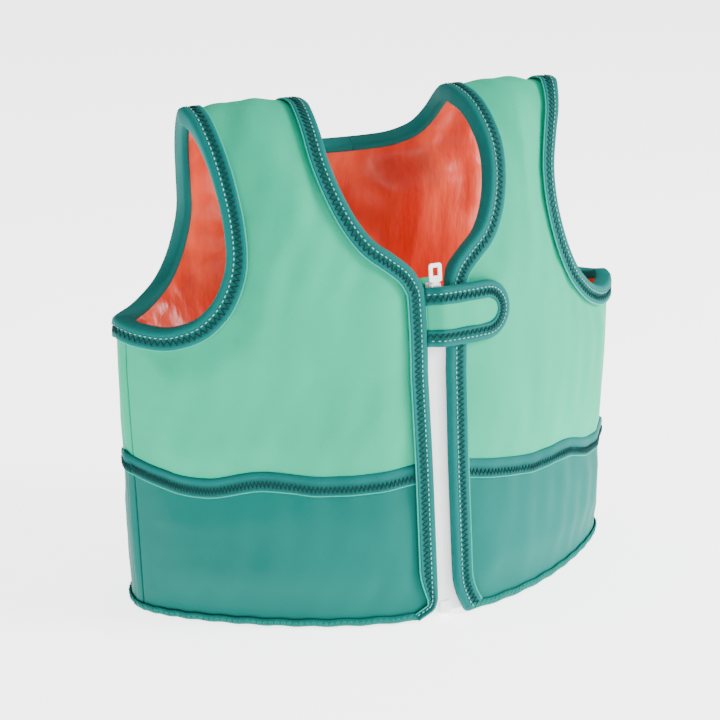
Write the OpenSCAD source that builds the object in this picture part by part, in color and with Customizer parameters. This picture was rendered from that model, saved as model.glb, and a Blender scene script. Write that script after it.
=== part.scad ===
// Child's sleeveless foam swim vest with a front zip.
// Origin: middle of the hem, on the plane the vest stands on.
// +X is the wearer's left, +Y the wearer's back, +Z up.
// The vest is drawn worn round: two front halves, a back and two unpadded side strips.
// Every panel lies on one torso surface, addressed by an angle round the body
// (0 = centre front, 90 = left side, 180 = centre back) and a length up the body.

/* [Torso] */
// Height from the hem to the top of the shoulders
overall_height = 300; // [260:5:360]
// Half width at the hem
hem_half_width = 161; // [135:1:190]
// Half width at the chest
chest_half_width = 167; // [140:1:195]
// Depth from the side line to the front at the hem
front_hem_depth = 98; // [85:1:116]
// Depth from the side line to the front at the chest
front_chest_depth = 83; // [72:1:100]
// Depth from the side line to the back at the hem
back_hem_depth = 84; // [70:1:100]
// Depth from the side line to the back at the chest
back_chest_depth = 58; // [48:1:70]
// How much the front is drawn in between centre and side, 0 is an ellipse
front_draw_in = 0.4; // [0:0.05:0.5]
// Part of the height where the shoulder begins to curve over
shoulder_start = 0.5; // [0.45:0.01:0.55]

/* [Layers] */
// Thickness of the outer neoprene
shell_thick = 2.6; // [2:0.1:4]
// Thickness of the satin lining
lining_thick = 2.0; // [1:0.1:2.5]
// Greatest thickness of the buoyancy foam
foam_thick = 15; // [8:1:20]
// Clearance between neighbouring layers
layer_gap = 0.3; // [0.2:0.05:0.4]
// Least distance from a panel edge to its foam
foam_margin = 14; // [12:1:16]

/* [Bindings] */
// Width of the edge binding on the outside
binding_width = 10; // [7:0.5:12]
// Width of the edge binding on the inside
binding_tuck = 3.5; // [3:0.5:5]
// Thickness of the binding fabric
binding_thick = 1.0; // [0.6:0.1:1.2]
// Width of the tape over the seam between the two colours
wave_tape_width = 11.5; // [8:0.5:14]

/* [Zip] */
// Clear width between the two front bindings
zip_opening = 12; // [11:0.5:15]
// Height of the top end of the zip coil
zip_top = 197; // [185:1:200]
// Width of one row of zip coil
coil_width = 1.9; // [1.5:0.1:2.2]
// Thickness of the zip coil
coil_thick = 1.6; // [1.2:0.1:1.8]
// Length of the zip slider
slider_length = 11; // [9:0.5:13]
// Length of the zip pull
pull_length = 13; // [11:1:20]
// Width of the zip pull
pull_width = 8; // [6:0.2:9]

/* [Tab] */
// Reach of the closing tab past the centre line
tab_reach = 48; // [45:1:60]
// Height of the closing tab
tab_height = 33; // [26:1:34]
// Height of the tab's top edge
tab_top = 199.5; // [186:0.5:200]
// Thickness of the tab
tab_thick = 2.0; // [1.5:0.1:2.5]

/* [Hidden] */

mint = [0.30, 0.78, 0.67];
teal = [0.02, 0.58, 0.54];
trim = [0.08, 0.55, 0.52];
orange = [0.93, 0.45, 0.30];
foam_white = [0.92, 0.92, 0.88];
zip_white = [0.95, 0.95, 0.96];

ridge_z = overall_height;
shoulder_z = shoulder_start * ridge_z;
// Length of the shoulder curve from its start to the ridge
arc_len = 1.25 * (ridge_z - shoulder_z);
top_v = shoulder_z + arc_len;
// The side line stands back from the origin, so that the origin is midway in the depth
middle_y = (front_hem_depth - back_hem_depth) / 2;
// The panels start a little above the web of the hem binding
hem_ease = 0.8;
hem_v = binding_thick + layer_gap + hem_ease;
// Layers at a panel edge: shell, room for the zip tape, lining
tape_thick = 0.8;
seam_room = tape_thick + 2 * layer_gap;
edge_thick = shell_thick + seam_room + lining_thick;
binding_out = layer_gap + binding_thick;
edge_x = zip_opening / 2 + binding_out;
side_angle = 72;
// Smallest turn that keeps two parts apart at the side line, where they would else touch
side_ease = 0.3;
// Last angle of a side strip, just short of the back
back_start = 89.6;
strap_fold = 14;
// Step in degrees and in millimetres for the surface's slopes
step = 0.4;
// The padding starts this far from an edge, is full that much further in,
// and fades out over the upper part of the height
pad_start = 8;
pad_rise = 26;
pad_fade_from = 0.8;
pad_fade_over = 0.12;
pad_least = 1.2;
// How quickly the rows straighten from the mid line to the top of the strap
row_bend = 1.5;

// Outlines as [angle from centre, height on a vest drawn 298.5 tall], for a left-hand half
drawn_height = 298.5;
unit_h = ridge_z / drawn_height;
neck_front = [[5, 209], [8.5, 218], [12.5, 227], [15.5, 240], [17.6, 256], [18.6, 271],
    [18.4, 284], [17.9, 293], [17.2, 298.5]];
neck_back = [[5, 265.2], [9, 266], [12.4, 268.5], [14.8, 272], [16.4, 277.5], [17.4, 284.5],
    [17.6, 292], [17.2, 298.5]];
arm_front_right = [[72, 179], [66, 177], [60, 177.6], [54.5, 181], [50, 188], [46.3, 199],
    [43.5, 217], [43.2, 238], [44, 258], [45.1, 275], [46.3, 288], [47.4, 298.5]];
arm_front_left = [[72, 170], [66, 168.2], [60, 169], [54, 173], [48, 181], [42.7, 193],
    [38.6, 211], [36.4, 232], [36.8, 252], [39.8, 270], [43.6, 285], [47.4, 298.5]];
arm_back_right = [[90, 181], [81, 178.7], [72, 178], [63, 179], [55, 184.5], [49, 194],
    [44.8, 210], [42.6, 232], [43.6, 254], [45, 272], [46.2, 287], [47.4, 298.5]];
arm_back_left = [[90, 171], [81, 169], [72, 168.7], [63, 170.5], [55, 177], [49, 188],
    [44.5, 206], [42.6, 230], [43.6, 253], [45, 272], [46.2, 287], [47.4, 298.5]];
mid_front_right = [[3, 198], [20, 188], [45, 168], [60, 164], [72, 179]];
mid_front_left = [[3, 198], [20, 185], [45, 160], [60, 155], [72, 170]];
mid_back_right = [[0, 265], [25, 222], [45, 184], [62, 163], [80, 169], [90, 181]];
mid_back_left = [[0, 265], [25, 218], [45, 176], [62, 154], [80, 160], [90, 171]];
wave_front_right = [[0, 92], [12, 88], [24, 87.5], [36, 91.5], [48, 86], [60, 88.5], [75, 93], [90, 96]];
wave_front_left = [[0, 91], [12, 85], [24, 80], [36, 79.5], [48, 71.5], [60, 70], [75, 69.5], [90, 68]];
wave_back_right = [[0, 82], [18, 86], [36, 82], [54, 86], [72, 92], [90, 96]];
wave_back_left = [[0, 82], [18, 84], [36, 77], [54, 75], [72, 70], [90, 68]];

// Rows and columns of the panel grids
hem_rows = 3;
chest_rows = 4;
yoke_rows = 11;
columns = 8;
mid_row = hem_rows + chest_rows;
last_row = mid_row + yoke_rows;
foam_last_row = last_row - 2;

function lerp(a, b, t) = a + (b - a) * t;
function unit(v) = v / norm(v);
function smooth(t) = let (c = min(1, max(0, t))) c * c * (3 - 2 * c);

// Length up the body for a height, and the torso surface itself
function length_up(z) =
    z < shoulder_z ? z
    : shoulder_z + arc_len * asin(min(1, (z - shoulder_z) / (ridge_z - shoulder_z))) / 90;
function torso(f, v) =
    let (bend = max(0, (v - shoulder_z) / arc_len * 90),
        z = v < shoulder_z ? v : shoulder_z + (ridge_z - shoulder_z) * sin(bend),
        k = min(1, max(0, v) / shoulder_z),
        front = lerp(front_hem_depth, front_chest_depth, k) * (1 - front_draw_in * sin(f) * sin(f)),
        back = lerp(back_hem_depth, back_chest_depth, k))
    [lerp(hem_half_width, chest_half_width, k) * sin(f),
        middle_y - (cos(f) > 0 ? front : back) * cos(bend) * cos(f), z];
function slope_f(f, v) = (torso(f + step, v) - torso(f - step, v)) / (2 * step);
function slope_v(f, v) = (torso(f, v + step) - torso(f, v - step)) / (2 * step);
function outward(f, v) = unit(cross(slope_f(f, v), slope_v(f, v)));
function lift(f, v, o) = torso(f, v) + outward(f, v) * o;

// Smooth curve through control points
function knot(p0, p1, p2, p3, t) =
    0.5 * (2 * p1 + (p2 - p0) * t + (2 * p0 - 5 * p1 + 4 * p2 - p3) * t * t
    + (3 * p1 - p0 - 3 * p2 + p3) * t * t * t);
function curve(points, u) =
    let (n = len(points) - 1, i = min(floor(u * n), n - 1))
    knot(points[max(i - 1, 0)], points[i], points[i + 1], points[min(i + 2, n)], u * n - i);
function raised(points) = [for (p = points) [p[0], length_up(p[1] * unit_h)]];
// A neck or armhole edge ends where the strap folds over the shoulder
function raised_edge(points) =
    let (n = len(points) - 1)
    [for (i = [0:n]) i < n ? raised(points)[i] : [points[n][0], top_v - strap_fold]];
// Height of an evenly spaced curve at an angle
function wave_at(points, f) = curve(points, min(1, f / points[len(points) - 1][0]))[1];

// A half panel: [inner edge x, outer edge angle, mid row, neck edge, armhole edge, wave, is back]
function half(x, out_f, mid, neck, arm, wave, back) =
    [x, out_f, raised(mid), concat([raised(mid)[0]], raised_edge(neck)), raised_edge(arm),
        raised(wave), back];
right_half = half(edge_x, side_angle, mid_front_right, neck_front, arm_front_right,
    wave_front_right, false);
left_half = half(edge_x, side_angle, mid_front_left, neck_front, arm_front_left,
    wave_front_left, false);
back_right_half = half(0, 90 - 0.1, mid_back_right, neck_back, arm_back_right,
    wave_back_right, true);
back_left_half = half(0, 90 - 0.1, mid_back_left, neck_back, arm_back_left,
    wave_back_left, true);

// Angle at which the body reaches a given x
function angle_at(x, v) =
    asin(x / lerp(hem_half_width, chest_half_width, min(1, v / shoulder_z)));
function inner_angle(p, v) = p[0] == 0 ? 0 : angle_at(p[0], v);

// Place [angle, length up] of the grid point in row r at a share s across the panel
function spot(p, r, s) =
    r <= mid_row
    ? let (m = curve(p[2], s),
        f0 = lerp(inner_angle(p, 100), p[1], s),
        low_v = wave_at(p[5], f0),
        first = [hem_v, foam_margin + hem_v, lerp(foam_margin, low_v, 0.5)],
        v = r < hem_rows ? first[r] : lerp(low_v, m[1], (r - hem_rows) / chest_rows),
        f = r <= hem_rows ? f0 : lerp(f0, m[0], (r - hem_rows) / chest_rows))
        [s == 0 && r < mid_row ? inner_angle(p, v) : f, v]
    : let (u = (r - mid_row) / yoke_rows,
        m = curve(p[2], s),
        chord = lerp(curve(p[2], 0), curve(p[2], 1), s))
        lerp(curve(p[3], u), curve(p[4], u), s) + (m - chord) * pow(1 - u, row_bend);
function row_length(p, r) =
    norm(at(spot(p, r, 0.5), p, 0) - at(spot(p, r, 0), p, 0))
    + norm(at(spot(p, r, 1), p, 0) - at(spot(p, r, 0.5), p, 0));
// A half is worked out on the wearer's left; a back half is turned round to the back
function at(fv, p, o) = lift(p[6] ? 180 - fv[0] : fv[0], fv[1], o);
function share(c, margin) =
    c == 0 ? 0 : c == columns ? 1 : lerp(margin, 1 - margin, (c - 1) / (columns - 2));
function grid(p) =
    [for (r = [0:last_row])
        let (margin = min(0.3, foam_margin / row_length(p, r)))
        [for (c = [0:columns]) spot(p, r, share(c, margin))]];

// Foam depth at a grid point: none at the edges, full away from them
function edge_points(p) =
    concat([for (i = [0:16]) at(curve(p[3], i / 16), p, 0)],
        [for (i = [0:16]) at(curve(p[4], i / 16), p, 0)],
        [for (i = [0:12]) at([inner_angle(p, 10), i * shoulder_z * 1.3 / 12], p, 0)],
        [for (i = [0:12]) at([p[1], i * shoulder_z * 1.2 / 12], p, 0)]);
function padding(fv, p, edges, r, c) =
    let (here = at(fv, p, 0),
        away = min(concat([for (e = edges) norm(here - e)], [here[2]])),
        inside = c > 0 && c < columns && r > 0 && r < foam_last_row + 1,
        top_fade = 1 - smooth((here[2] - pad_fade_from * ridge_z) / (pad_fade_over * ridge_z)))
    inside ? max(pad_least, foam_thick * smooth((away - pad_start) / pad_rise) * top_fade) : 0;
function pads(p, g) =
    let (edges = edge_points(p))
    [for (r = [0:last_row]) [for (c = [0:columns]) padding(g[r][c], p, edges, r, c)]];

// Closed sheet between an outer and an inner grid of points
function flat(rows) = [for (row = rows) for (q = row) q];
function quad(a, b, c, d) = [[a, b, c], [a, c, d]];
function sheet_faces(nr, nc) =
    let (w = nc + 1, under = (nr + 1) * w)
    concat(
        [for (r = [0:nr - 1]) for (c = [0:nc - 1])
            for (t = quad(r * w + c, (r + 1) * w + c, (r + 1) * w + c + 1, r * w + c + 1)) t],
        [for (r = [0:nr - 1]) for (c = [0:nc - 1])
            for (t = quad((r + 1) * w + c + 1, (r + 1) * w + c, r * w + c, r * w + c + 1))
                [t[0] + under, t[1] + under, t[2] + under]],
        [for (r = [0:nr - 1])
            for (t = quad(r * w + under, (r + 1) * w + under, (r + 1) * w, r * w)) t],
        [for (r = [0:nr - 1])
            for (t = quad(r * w + nc, (r + 1) * w + nc, (r + 1) * w + nc + under, r * w + nc + under)) t],
        [for (c = [0:nc - 1])
            for (t = quad(c, c + 1, c + 1 + under, c + under)) t],
        [for (c = [0:nc - 1]) let (b = nr * w + c)
            for (t = quad(b + under, b + 1 + under, b + 1, b)) t]);
// On a back half the columns run the other way round the body, so faces are turned
module sheet(outer, inner, turned = false) {
    faces = sheet_faces(len(outer) - 1, len(outer[0]) - 1);
    polyhedron(concat(flat(outer), flat(inner)),
        turned ? [for (t = faces) [t[2], t[1], t[0]]] : faces, convexity = 6);
}

// Rows of one layer of a half: offsets are functions of the foam depth at each point
function layer(p, g, pad, r0, r1, c0, c1, base, share_of_pad) =
    [for (r = [r0:r1]) [for (c = [c0:c1]) at(g[r][c], p, -base - share_of_pad * pad[r][c])]];
// The wave row is drawn back by half a gap on both sides of the colour seam
function trimmed(g, row, shift) =
    [for (r = [0:len(g) - 1]) [for (q = g[r]) r == row ? [q[0], q[1] + shift] : q]];

module half_layer(p, r0, r1, shift_row, shift, base, thick, pad_share) {
    g0 = grid(p);
    pad = pads(p, g0);
    g = trimmed(g0, shift_row, shift);
    sheet(layer(p, g, pad, r0, r1, 0, columns, base, pad_share),
        layer(p, g, pad, r0, r1, 0, columns, base + thick, pad_share), p[6]);
}
module half_foam(p) {
    g = grid(p);
    pad = pads(p, g);
    outer = shell_thick + layer_gap;
    inner = shell_thick + seam_room - layer_gap;
    color(foam_white)
        sheet(layer(p, g, pad, 1, foam_last_row, 1, columns - 1, outer, 0),
            layer(p, g, pad, 1, foam_last_row, 1, columns - 1, inner, 1), p[6]);
}

module front_shell(p)
    color(mint) half_layer(p, hem_rows, last_row, hem_rows, layer_gap / 2, 0, shell_thick, 0);
module front_band(p)
    color(teal) half_layer(p, 0, hem_rows, hem_rows, -layer_gap / 2, 0, shell_thick, 0);
module front_lining(p)
    color(orange) half_layer(p, 0, last_row, -1, 0, shell_thick + seam_room, lining_thick, 1);

// Both back halves as one sheet, joined along the centre back up to the neck
function both_index(r, c, side, w, n, joined) =
    side == 1 && c == 0 && r <= joined ? r * w : side * n + r * w + c;
function both_faces(nr, nc, joined) =
    let (w = nc + 1, n = (nr + 1) * w, under = 2 * n)
    [for (side = [0, 1])
        let (turn = side == 1)
        for (t = concat(
            [for (r = [0:nr - 1]) for (c = [0:nc - 1]) for (q = quad([r, c, 0], [r + 1, c, 0],
                [r + 1, c + 1, 0], [r, c + 1, 0])) q],
            [for (r = [0:nr - 1]) for (c = [0:nc - 1]) for (q = quad([r + 1, c + 1, 1], [r + 1, c, 1],
                [r, c, 1], [r, c + 1, 1])) q],
            [for (r = [joined:nr - 1]) for (q = quad([r, 0, 1], [r + 1, 0, 1],
                [r + 1, 0, 0], [r, 0, 0])) q],
            [for (r = [0:nr - 1]) for (q = quad([r, nc, 0], [r + 1, nc, 0],
                [r + 1, nc, 1], [r, nc, 1])) q],
            [for (c = [0:nc - 1]) for (q = quad([0, c, 0], [0, c + 1, 0], [0, c + 1, 1], [0, c, 1])) q],
            [for (c = [0:nc - 1]) for (q = quad([nr, c, 1], [nr, c + 1, 1], [nr, c + 1, 0], [nr, c, 0])) q]))
        let (i = [for (k = t) both_index(k[0], k[1], side, w, n, joined) + k[2] * under])
        turn ? i : [i[2], i[1], i[0]]];
function mirrored(rows) = [for (row = rows) [for (q = row) [-q[0], q[1], q[2]]]];
module back_layer(r0, r1, shift_row, shift, base, thick, pad_share) {
    sides = [for (p = [back_left_half, back_right_half])
        let (g0 = grid(p), pad = pads(p, g0), g = trimmed(g0, shift_row, shift))
        [layer(p, g, pad, r0, r1, 0, columns, base, pad_share),
            layer(p, g, pad, r0, r1, 0, columns, base + thick, pad_share)]];
    polyhedron(concat(flat(sides[0][0]), flat(mirrored(sides[1][0])),
            flat(sides[0][1]), flat(mirrored(sides[1][1]))),
        both_faces(r1 - r0, columns, min(mid_row, r1) - r0), convexity = 8);
}

// Binding carried along an edge: a section in [inward, outward] over the surface
function place(p, fv, way, b, n, ahead) =
    let (f = p[6] ? 180 - fv[0] : fv[0],
        along = unit(ahead),
        inward = way * cross(along, outward(f, fv[1])),
        sf = slope_f(f, fv[1]),
        sv = slope_v(f, fv[1]))
    lift(f + b * (inward * sf) / (sf * sf), fv[1] + b * (inward * sv) / (sv * sv), n);
function sweep_rings(p, path, way, section) =
    let (m = len(path) - 1)
    [for (i = [0:m])
        let (ahead = at(path[min(i + 1, m)], p, 0) - at(path[max(i - 1, 0)], p, 0))
        [for (q = section) place(p, path[i], way, q[0], q[1], ahead)]];
function tube_faces(m, k) =
    concat([[for (j = [0:k - 1]) j]],
        [for (i = [0:m - 1]) for (j = [0:k - 1])
            let (a = i * k + j, b = i * k + (j + 1) % k)
            for (t = quad(a, a + k, b + k, b)) t],
        [[for (j = [k - 1:-1:0]) m * k + j]]);
module carried(p, path, way, section) {
    rings = sweep_rings(p, path, way, section);
    k = len(section);
    turned = (way > 0) != p[6];
    order = turned ? rings : [for (ring = rings) [for (j = [k - 1:-1:0]) ring[j]]];
    polyhedron(flat(order), tube_faces(len(rings) - 1, k), convexity = 6);
}
// Where an edge bends round the body the binding stands off a little more
loose = layer_gap + 0.5;
inside_depth = edge_thick + 1.5 + layer_gap;
wrap_section = [[binding_width, loose], [binding_width, loose + binding_thick],
    [-binding_out, loose + binding_thick], [-binding_out, -inside_depth - binding_thick],
    [binding_tuck, -inside_depth - binding_thick], [binding_tuck, -inside_depth],
    [-layer_gap, -inside_depth], [-layer_gap, loose]];
cap_section = [[binding_width, layer_gap], [binding_width, binding_out], [-binding_out, binding_out],
    [-binding_out, -shell_thick], [-layer_gap, -shell_thick], [-layer_gap, layer_gap]];

// Bindings run through the same edge points as the panels that they cover
// and stop a little short of the fold over the shoulder, by a share of the last stretch
end_cut = 0.2;
function shortened(path) =
    let (n = len(path) - 1) [for (i = [0:n]) i < n ? path[i] : lerp(path[n], path[n - 1], end_cut)];
function inner_edge(p, r0) = shortened([for (r = [r0:last_row]) spot(p, r, 0)]);
function armhole_edge(p) = shortened([for (r = [mid_row:last_row]) spot(p, r, 1)]);
module front_binding(p) color(trim) carried(p, inner_edge(p, 0), 1, cap_section);
module front_armhole(p) color(trim) carried(p, armhole_edge(p), -1, wrap_section);
module back_armhole(p) color(trim) carried(p, armhole_edge(p), 1, wrap_section);
module back_neck() {
    // One strip from the left strap, down round the neck and up the right strap
    side = inner_edge(back_left_half, mid_row);
    n = len(side) - 1;
    path = concat([for (i = [n:-1:0]) side[i]], [for (i = [1:n]) [-side[i][0], side[i][1]]]);
    color(trim) carried(back_left_half, path, 1, wrap_section);
}

// Hem binding: a flat web with an outer and an inner wall, carried round the hem line
function hem_point(f, o) =
    let (n = outward(f, hem_v), q = torso(f, 0) + [n[0], n[1], 0] / norm([n[0], n[1]]) * o)
    [q[0], q[1]];
module hem(f0, f1) {
    deep = -inside_depth;
    n = ceil((f1 - f0) / 6);
    section = [[binding_out, 0], [deep - binding_thick, 0], [deep - binding_thick, binding_tuck],
        [deep, binding_tuck], [deep, binding_thick], [layer_gap, binding_thick],
        [layer_gap, binding_width - 1], [binding_out, binding_width - 1]];
    rings = [for (i = [0:n]) [for (q = section) concat(hem_point(lerp(f0, f1, i / n), q[0]), [q[1]])]];
    color(trim) polyhedron(flat(rings), tube_faces(n, len(section)), convexity = 6);
}
front_hem_angle = angle_at(edge_x + binding_width + 2 * layer_gap, 0);

module strip(p, f0, f1, n, low, high, o_in, o_out) {
    rows = [for (o = [o_out, o_in])
        [for (e = [low, high]) [for (i = [0:n])
            let (f = lerp(f0, f1, i / n)) at([f, wave_at(p[5], f) + e], p, o)]]];
    sheet(rows[0], rows[1]);
}
module front_wave(p) {
    color(trim) strip(p, angle_at(edge_x + binding_width + 1, 90), side_angle - 0.2, 12,
        -wave_tape_width / 2, wave_tape_width / 2, layer_gap, binding_out);
}
module back_wave() {
    // Left part and right part meet at the centre back
    color(trim) {
        rows = [for (o = [binding_out, layer_gap])
            [for (e = [-wave_tape_width / 2, wave_tape_width / 2])
                [for (i = [-12:12]) let (f = abs(i) / 12 * back_start, p = i < 0 ? back_right_half : back_left_half)
                    lift(180 - sign(i) * f, wave_at(p[5], f) + e, o)]]];
        sheet([for (row = rows[0]) [for (j = [24:-1:0]) row[j]]],
            [for (row = rows[1]) [for (j = [24:-1:0]) row[j]]]);
    }
}

// Unpadded strip between front and back, under the armhole
module side_strip(p, top) {
    n = 3;
    spans = [for (r = [0:6]) lerp(hem_v, length_up(top * unit_h), r / 6)];
    function rows(o) = [for (v = spans) [for (i = [0:n]) lift(lerp(side_angle + side_ease, back_start, i / n), v, o)]];
    color(mint) sheet(rows(0), rows(-edge_thick));
}
// Unpadded fold of the strap over the shoulder
module strap_top() {
    lead = strap_fold - layer_gap;
    function across(o) =
        [for (j = [-3:3]) let (v = top_v - abs(j) / 3 * lead)
            [for (i = [0:4]) let (f = lerp(17.4, 47.2, i / 4), s = j > 0 ? 180 - f : f) lift(s, v, o)]];
    color(mint) sheet(across(0), across(-edge_thick));
}

// Zip: coil rows and tapes follow the panel edge; the slider runs on their straight mean line
zip_depth = shell_thick + layer_gap + tape_thick / 2;
coil_gap = 1.4;
// Half the inner height of the slider, which leaves room over the coil
channel = coil_thick / 2 + 0.85;
plate_thick = 0.9;
slider_half = coil_gap + coil_width + 0.3;
slide_top_z = zip_top;
slide_low_z = 15.5;
line_top = lift(0, length_up(slide_top_z), -zip_depth);
line_low = lift(0, slide_low_z, -zip_depth);
zip_tilt = atan2(line_top[1] - line_low[1], line_top[2] - line_low[2]);
// Lengths up the body from z0 to z1, by way of the panel's own rows
function levels(p, z0, z1) =
    let (v0 = length_up(z0), v1 = length_up(z1))
    concat([v0], [for (r = [0:mid_row]) let (v = spot(p, r, 0)[1]) if (v > v0 + 1 && v < v1 - 1) v], [v1]);
function ribbon(p, x0, x1, n, z0, z1, o) =
    [for (v = levels(p, z0, z1)) [for (i = [0:n]) lift(angle_at(lerp(x0, x1, i / n), v), v, o)]];
module zip_ribbon(p, x0, x1, n, z0, z1, o_mid, t)
    color(zip_white) sheet(ribbon(p, x0, x1, n, z0, z1, o_mid + t / 2),
        ribbon(p, x0, x1, n, z0, z1, o_mid - t / 2));
tape_start = coil_gap + coil_width + layer_gap;
zip_end_z = 10;
zip_foot_z = 2.5;
stop_height = 2.1;
module zip_tape(p)
    zip_ribbon(p, tape_start, edge_x + 8, 2, 3, zip_top - 1, -zip_depth, tape_thick);
module zip_coil(p)
    zip_ribbon(p, coil_gap, coil_gap + coil_width, 1, zip_end_z, zip_top - 3, -zip_depth, coil_thick);
module top_stop(p)
    zip_ribbon(p, coil_gap, coil_gap + coil_width, 1, zip_top - 0.6 - stop_height, zip_top - 0.6,
        -zip_depth, coil_thick);
module zip_pin()
    zip_ribbon(left_half, coil_gap, coil_gap + coil_width, 1, zip_foot_z, zip_end_z - layer_gap, -zip_depth, coil_thick);
module zip_box()
    right() zip_ribbon(right_half, -coil_gap + 0.5, coil_gap + coil_width, 2, zip_foot_z, zip_end_z - layer_gap,
        -zip_depth, coil_thick + 1);
guard_gap = 0.8;
guard_thick = 2;
guard_top = 205;
module zip_guard() {
    deep = edge_thick + guard_gap;
    function rows(o) = [for (v = levels(right_half, 3, guard_top * unit_h))
        [for (i = [0:2]) lift(angle_at(lerp(1 - zip_opening / 2, edge_x + 3, i / 2), v), v, o)]];
    color(mint) right() sheet(rows(-deep), rows(-deep - guard_thick));
}

// Slider and pull are drawn upright at the zip line's top, then tilted with the line
bridge_z = slider_length / 2 - 0.9;
pin_r = 0.6;
pin_front = channel + plate_thick + 1.35;
ear_half = 3;
tongue_half = 1.8;
pull_foot = 1.6;
pull_rim = 2.1;
module on_line() translate(line_top) rotate([-zip_tilt, 0, 0]) children();
module bar(x, y0, y1, z0, z1) translate([-x, -y1, z0]) cube([2 * x, y1 - y0, z1 - z0]);
module zip_slider() {
    l = slider_length / 2;
    color(zip_white) on_line() union() {
        bar(slider_half, channel, channel + plate_thick, -l, l);
        bar(slider_half, -channel - plate_thick, -channel, -l, l);
        bar(coil_gap - 0.4, -channel, channel, l - 3, l);
        for (s = [-1, 1])
            translate([s * (ear_half - 0.45) - 0.45, -pin_front - pin_r - 0.2, bridge_z - 1])
                cube([0.9, 2.15, 2]);
        translate([-ear_half, -pin_front, bridge_z]) rotate([0, 90, 0])
            cylinder(r = pin_r, h = 2 * ear_half, $fn = 24);
    }
}
module zip_pull() {
    bore = pin_r + 0.08;
    color(zip_white) on_line() translate([0, -pin_front, bridge_z]) difference() {
        union() {
            bar(tongue_half, -0.6, 0.6, 0, 3);
            translate([-tongue_half, 0, 0]) rotate([0, 90, 0]) cylinder(r = 1.05, h = 2 * tongue_half, $fn = 32);
            translate([0, 0.6, 0]) rotate([90, 0, 0]) linear_extrude(1.2)
                polygon([[-tongue_half, pull_foot], [tongue_half, pull_foot],
                    [pull_width / 2, pull_foot + 1], [pull_width / 2, pull_length - 1],
                    [pull_width / 2 - 1, pull_length], [-pull_width / 2 + 1, pull_length],
                    [-pull_width / 2, pull_length - 1], [-pull_width / 2, pull_foot + 1]]);
        }
        translate([-5, 0, 0]) rotate([0, 90, 0]) cylinder(r = bore, h = 10, $fn = 24);
        bar(pull_width / 2 - pull_rim, -1, 1, pull_length - 7.4, pull_length - 2.4);
    }
}

// Closing tab: a D-shaped flap over the zip
tab_root = zip_opening / 2 - layer_gap;
tab_under = 2.2;
tab_low_v = length_up(tab_top - tab_height);
tab_mid_v = (length_up(tab_top) + tab_low_v) / 2;
// Length up the cloth that gives a height, measured from the tab's middle
function tab_level(rise) = tab_mid_v + rise * (length_up(tab_top) - tab_low_v) / tab_height;
tab_end = tab_height / 2;
function tab_half(x) =
    let (past = x - (tab_reach - tab_end))
    past < 0 ? tab_height / 2 : sqrt(max(2.2, tab_end * tab_end - past * past));
function tab_rows(x0, x1, inset, o) =
    [for (j = [-2:2])
        [for (i = [0:9]) let (x = lerp(x0, x1, i < 5 ? i / 5 * 0.62 : 0.62 + 0.38 * sin((i - 5) / 4 * 90)))
            let (v = tab_level(j / 2 * (tab_half(x) - inset))) lift(angle_at(x, v), v, o)]];
module tab_panel() color(mint)
    sheet(tab_rows(-tab_root, tab_reach, 0, tab_under + tab_thick), tab_rows(-tab_root, tab_reach, 0, tab_under));
module tab_binding() {
    o = tab_under + tab_thick + 2 * layer_gap;
    straight = tab_reach - tab_end;
    corner = [for (i = [0:10]) let (a = 90 - i * 18)
        [straight + tab_end * cos(a), tab_level(tab_end * sin(a))]];
    path = [for (q = concat([[-tab_root, tab_level(tab_end)], [straight / 3, tab_level(tab_end)]],
            corner,
            [[straight / 3, tab_level(-tab_end)], [-tab_root, tab_level(-tab_end)]]))
        [angle_at(q[0], q[1]), q[1]]];
    color(trim) carried(left_half, path, 1,
        [[7, o], [7, o + 0.8], [0.2, o + 0.8], [0.2, o]]);
}
module patch(x0, x1, h, o, t) {
    function rows(q) = [for (j = [-1:1]) [for (i = [0:3]) let (v = tab_level(j * h / 2))
        lift(angle_at(lerp(x0, x1, i / 3), v), v, q)]];
    color(zip_white) sheet(rows(o + t), rows(o));
}
patch_low = edge_x + binding_width + 1.5;
module tab_hook_patch() patch(patch_low, tab_reach - 8, tab_height - 12, tab_under - 0.9, 0.6);
module tab_loop_patch() patch(patch_low, tab_reach - 6, tab_height - 10, layer_gap, 0.7);
module tab_anchor() {
    function rows(o) = [for (j = [-1:1]) [for (i = [0:1]) let (v = tab_level(j * (tab_end - 1)))
        lift(angle_at(lerp(-tab_root, -max(slider_half, pull_width / 2) - layer_gap, i), v), v, o)]];
    color(mint) sheet(rows(tab_under - layer_gap), rows(-1));
}

module right() mirror([1, 0, 0]) children();

module right_front_shell() right() front_shell(right_half);
module right_front_band() right() front_band(right_half);
module right_front_foam() right() half_foam(right_half);
module right_front_lining() right() front_lining(right_half);
module right_front_binding() right() front_binding(right_half);
module right_front_armhole_binding() right() front_armhole(right_half);
module right_front_hem() right() hem(front_hem_angle, side_angle - side_ease);
module right_wave_tape() right() front_wave(right_half);
module left_front_shell() front_shell(left_half);
module left_front_band() front_band(left_half);
module left_front_foam() half_foam(left_half);
module left_front_lining() front_lining(left_half);
module left_front_binding() front_binding(left_half);
module left_front_armhole_binding() front_armhole(left_half);
module left_front_hem() hem(front_hem_angle, side_angle - side_ease);
module left_wave_tape() front_wave(left_half);
module back_shell()
    color(mint) back_layer(hem_rows, last_row, hem_rows, layer_gap / 2, 0, shell_thick, 0);
module back_band() color(teal) back_layer(0, hem_rows, hem_rows, -layer_gap / 2, 0, shell_thick, 0);
module back_foam_right() right() half_foam(back_right_half);
module back_foam_left() half_foam(back_left_half);
module back_lining()
    color(orange) back_layer(0, last_row, -1, 0, shell_thick + seam_room, lining_thick, 1);
module back_neck_binding() back_neck();
module back_armhole_binding_right() right() back_armhole(back_right_half);
module back_armhole_binding_left() back_armhole(back_left_half);
module back_hem() hem(91, 269);
module back_wave_tape() back_wave();
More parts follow.
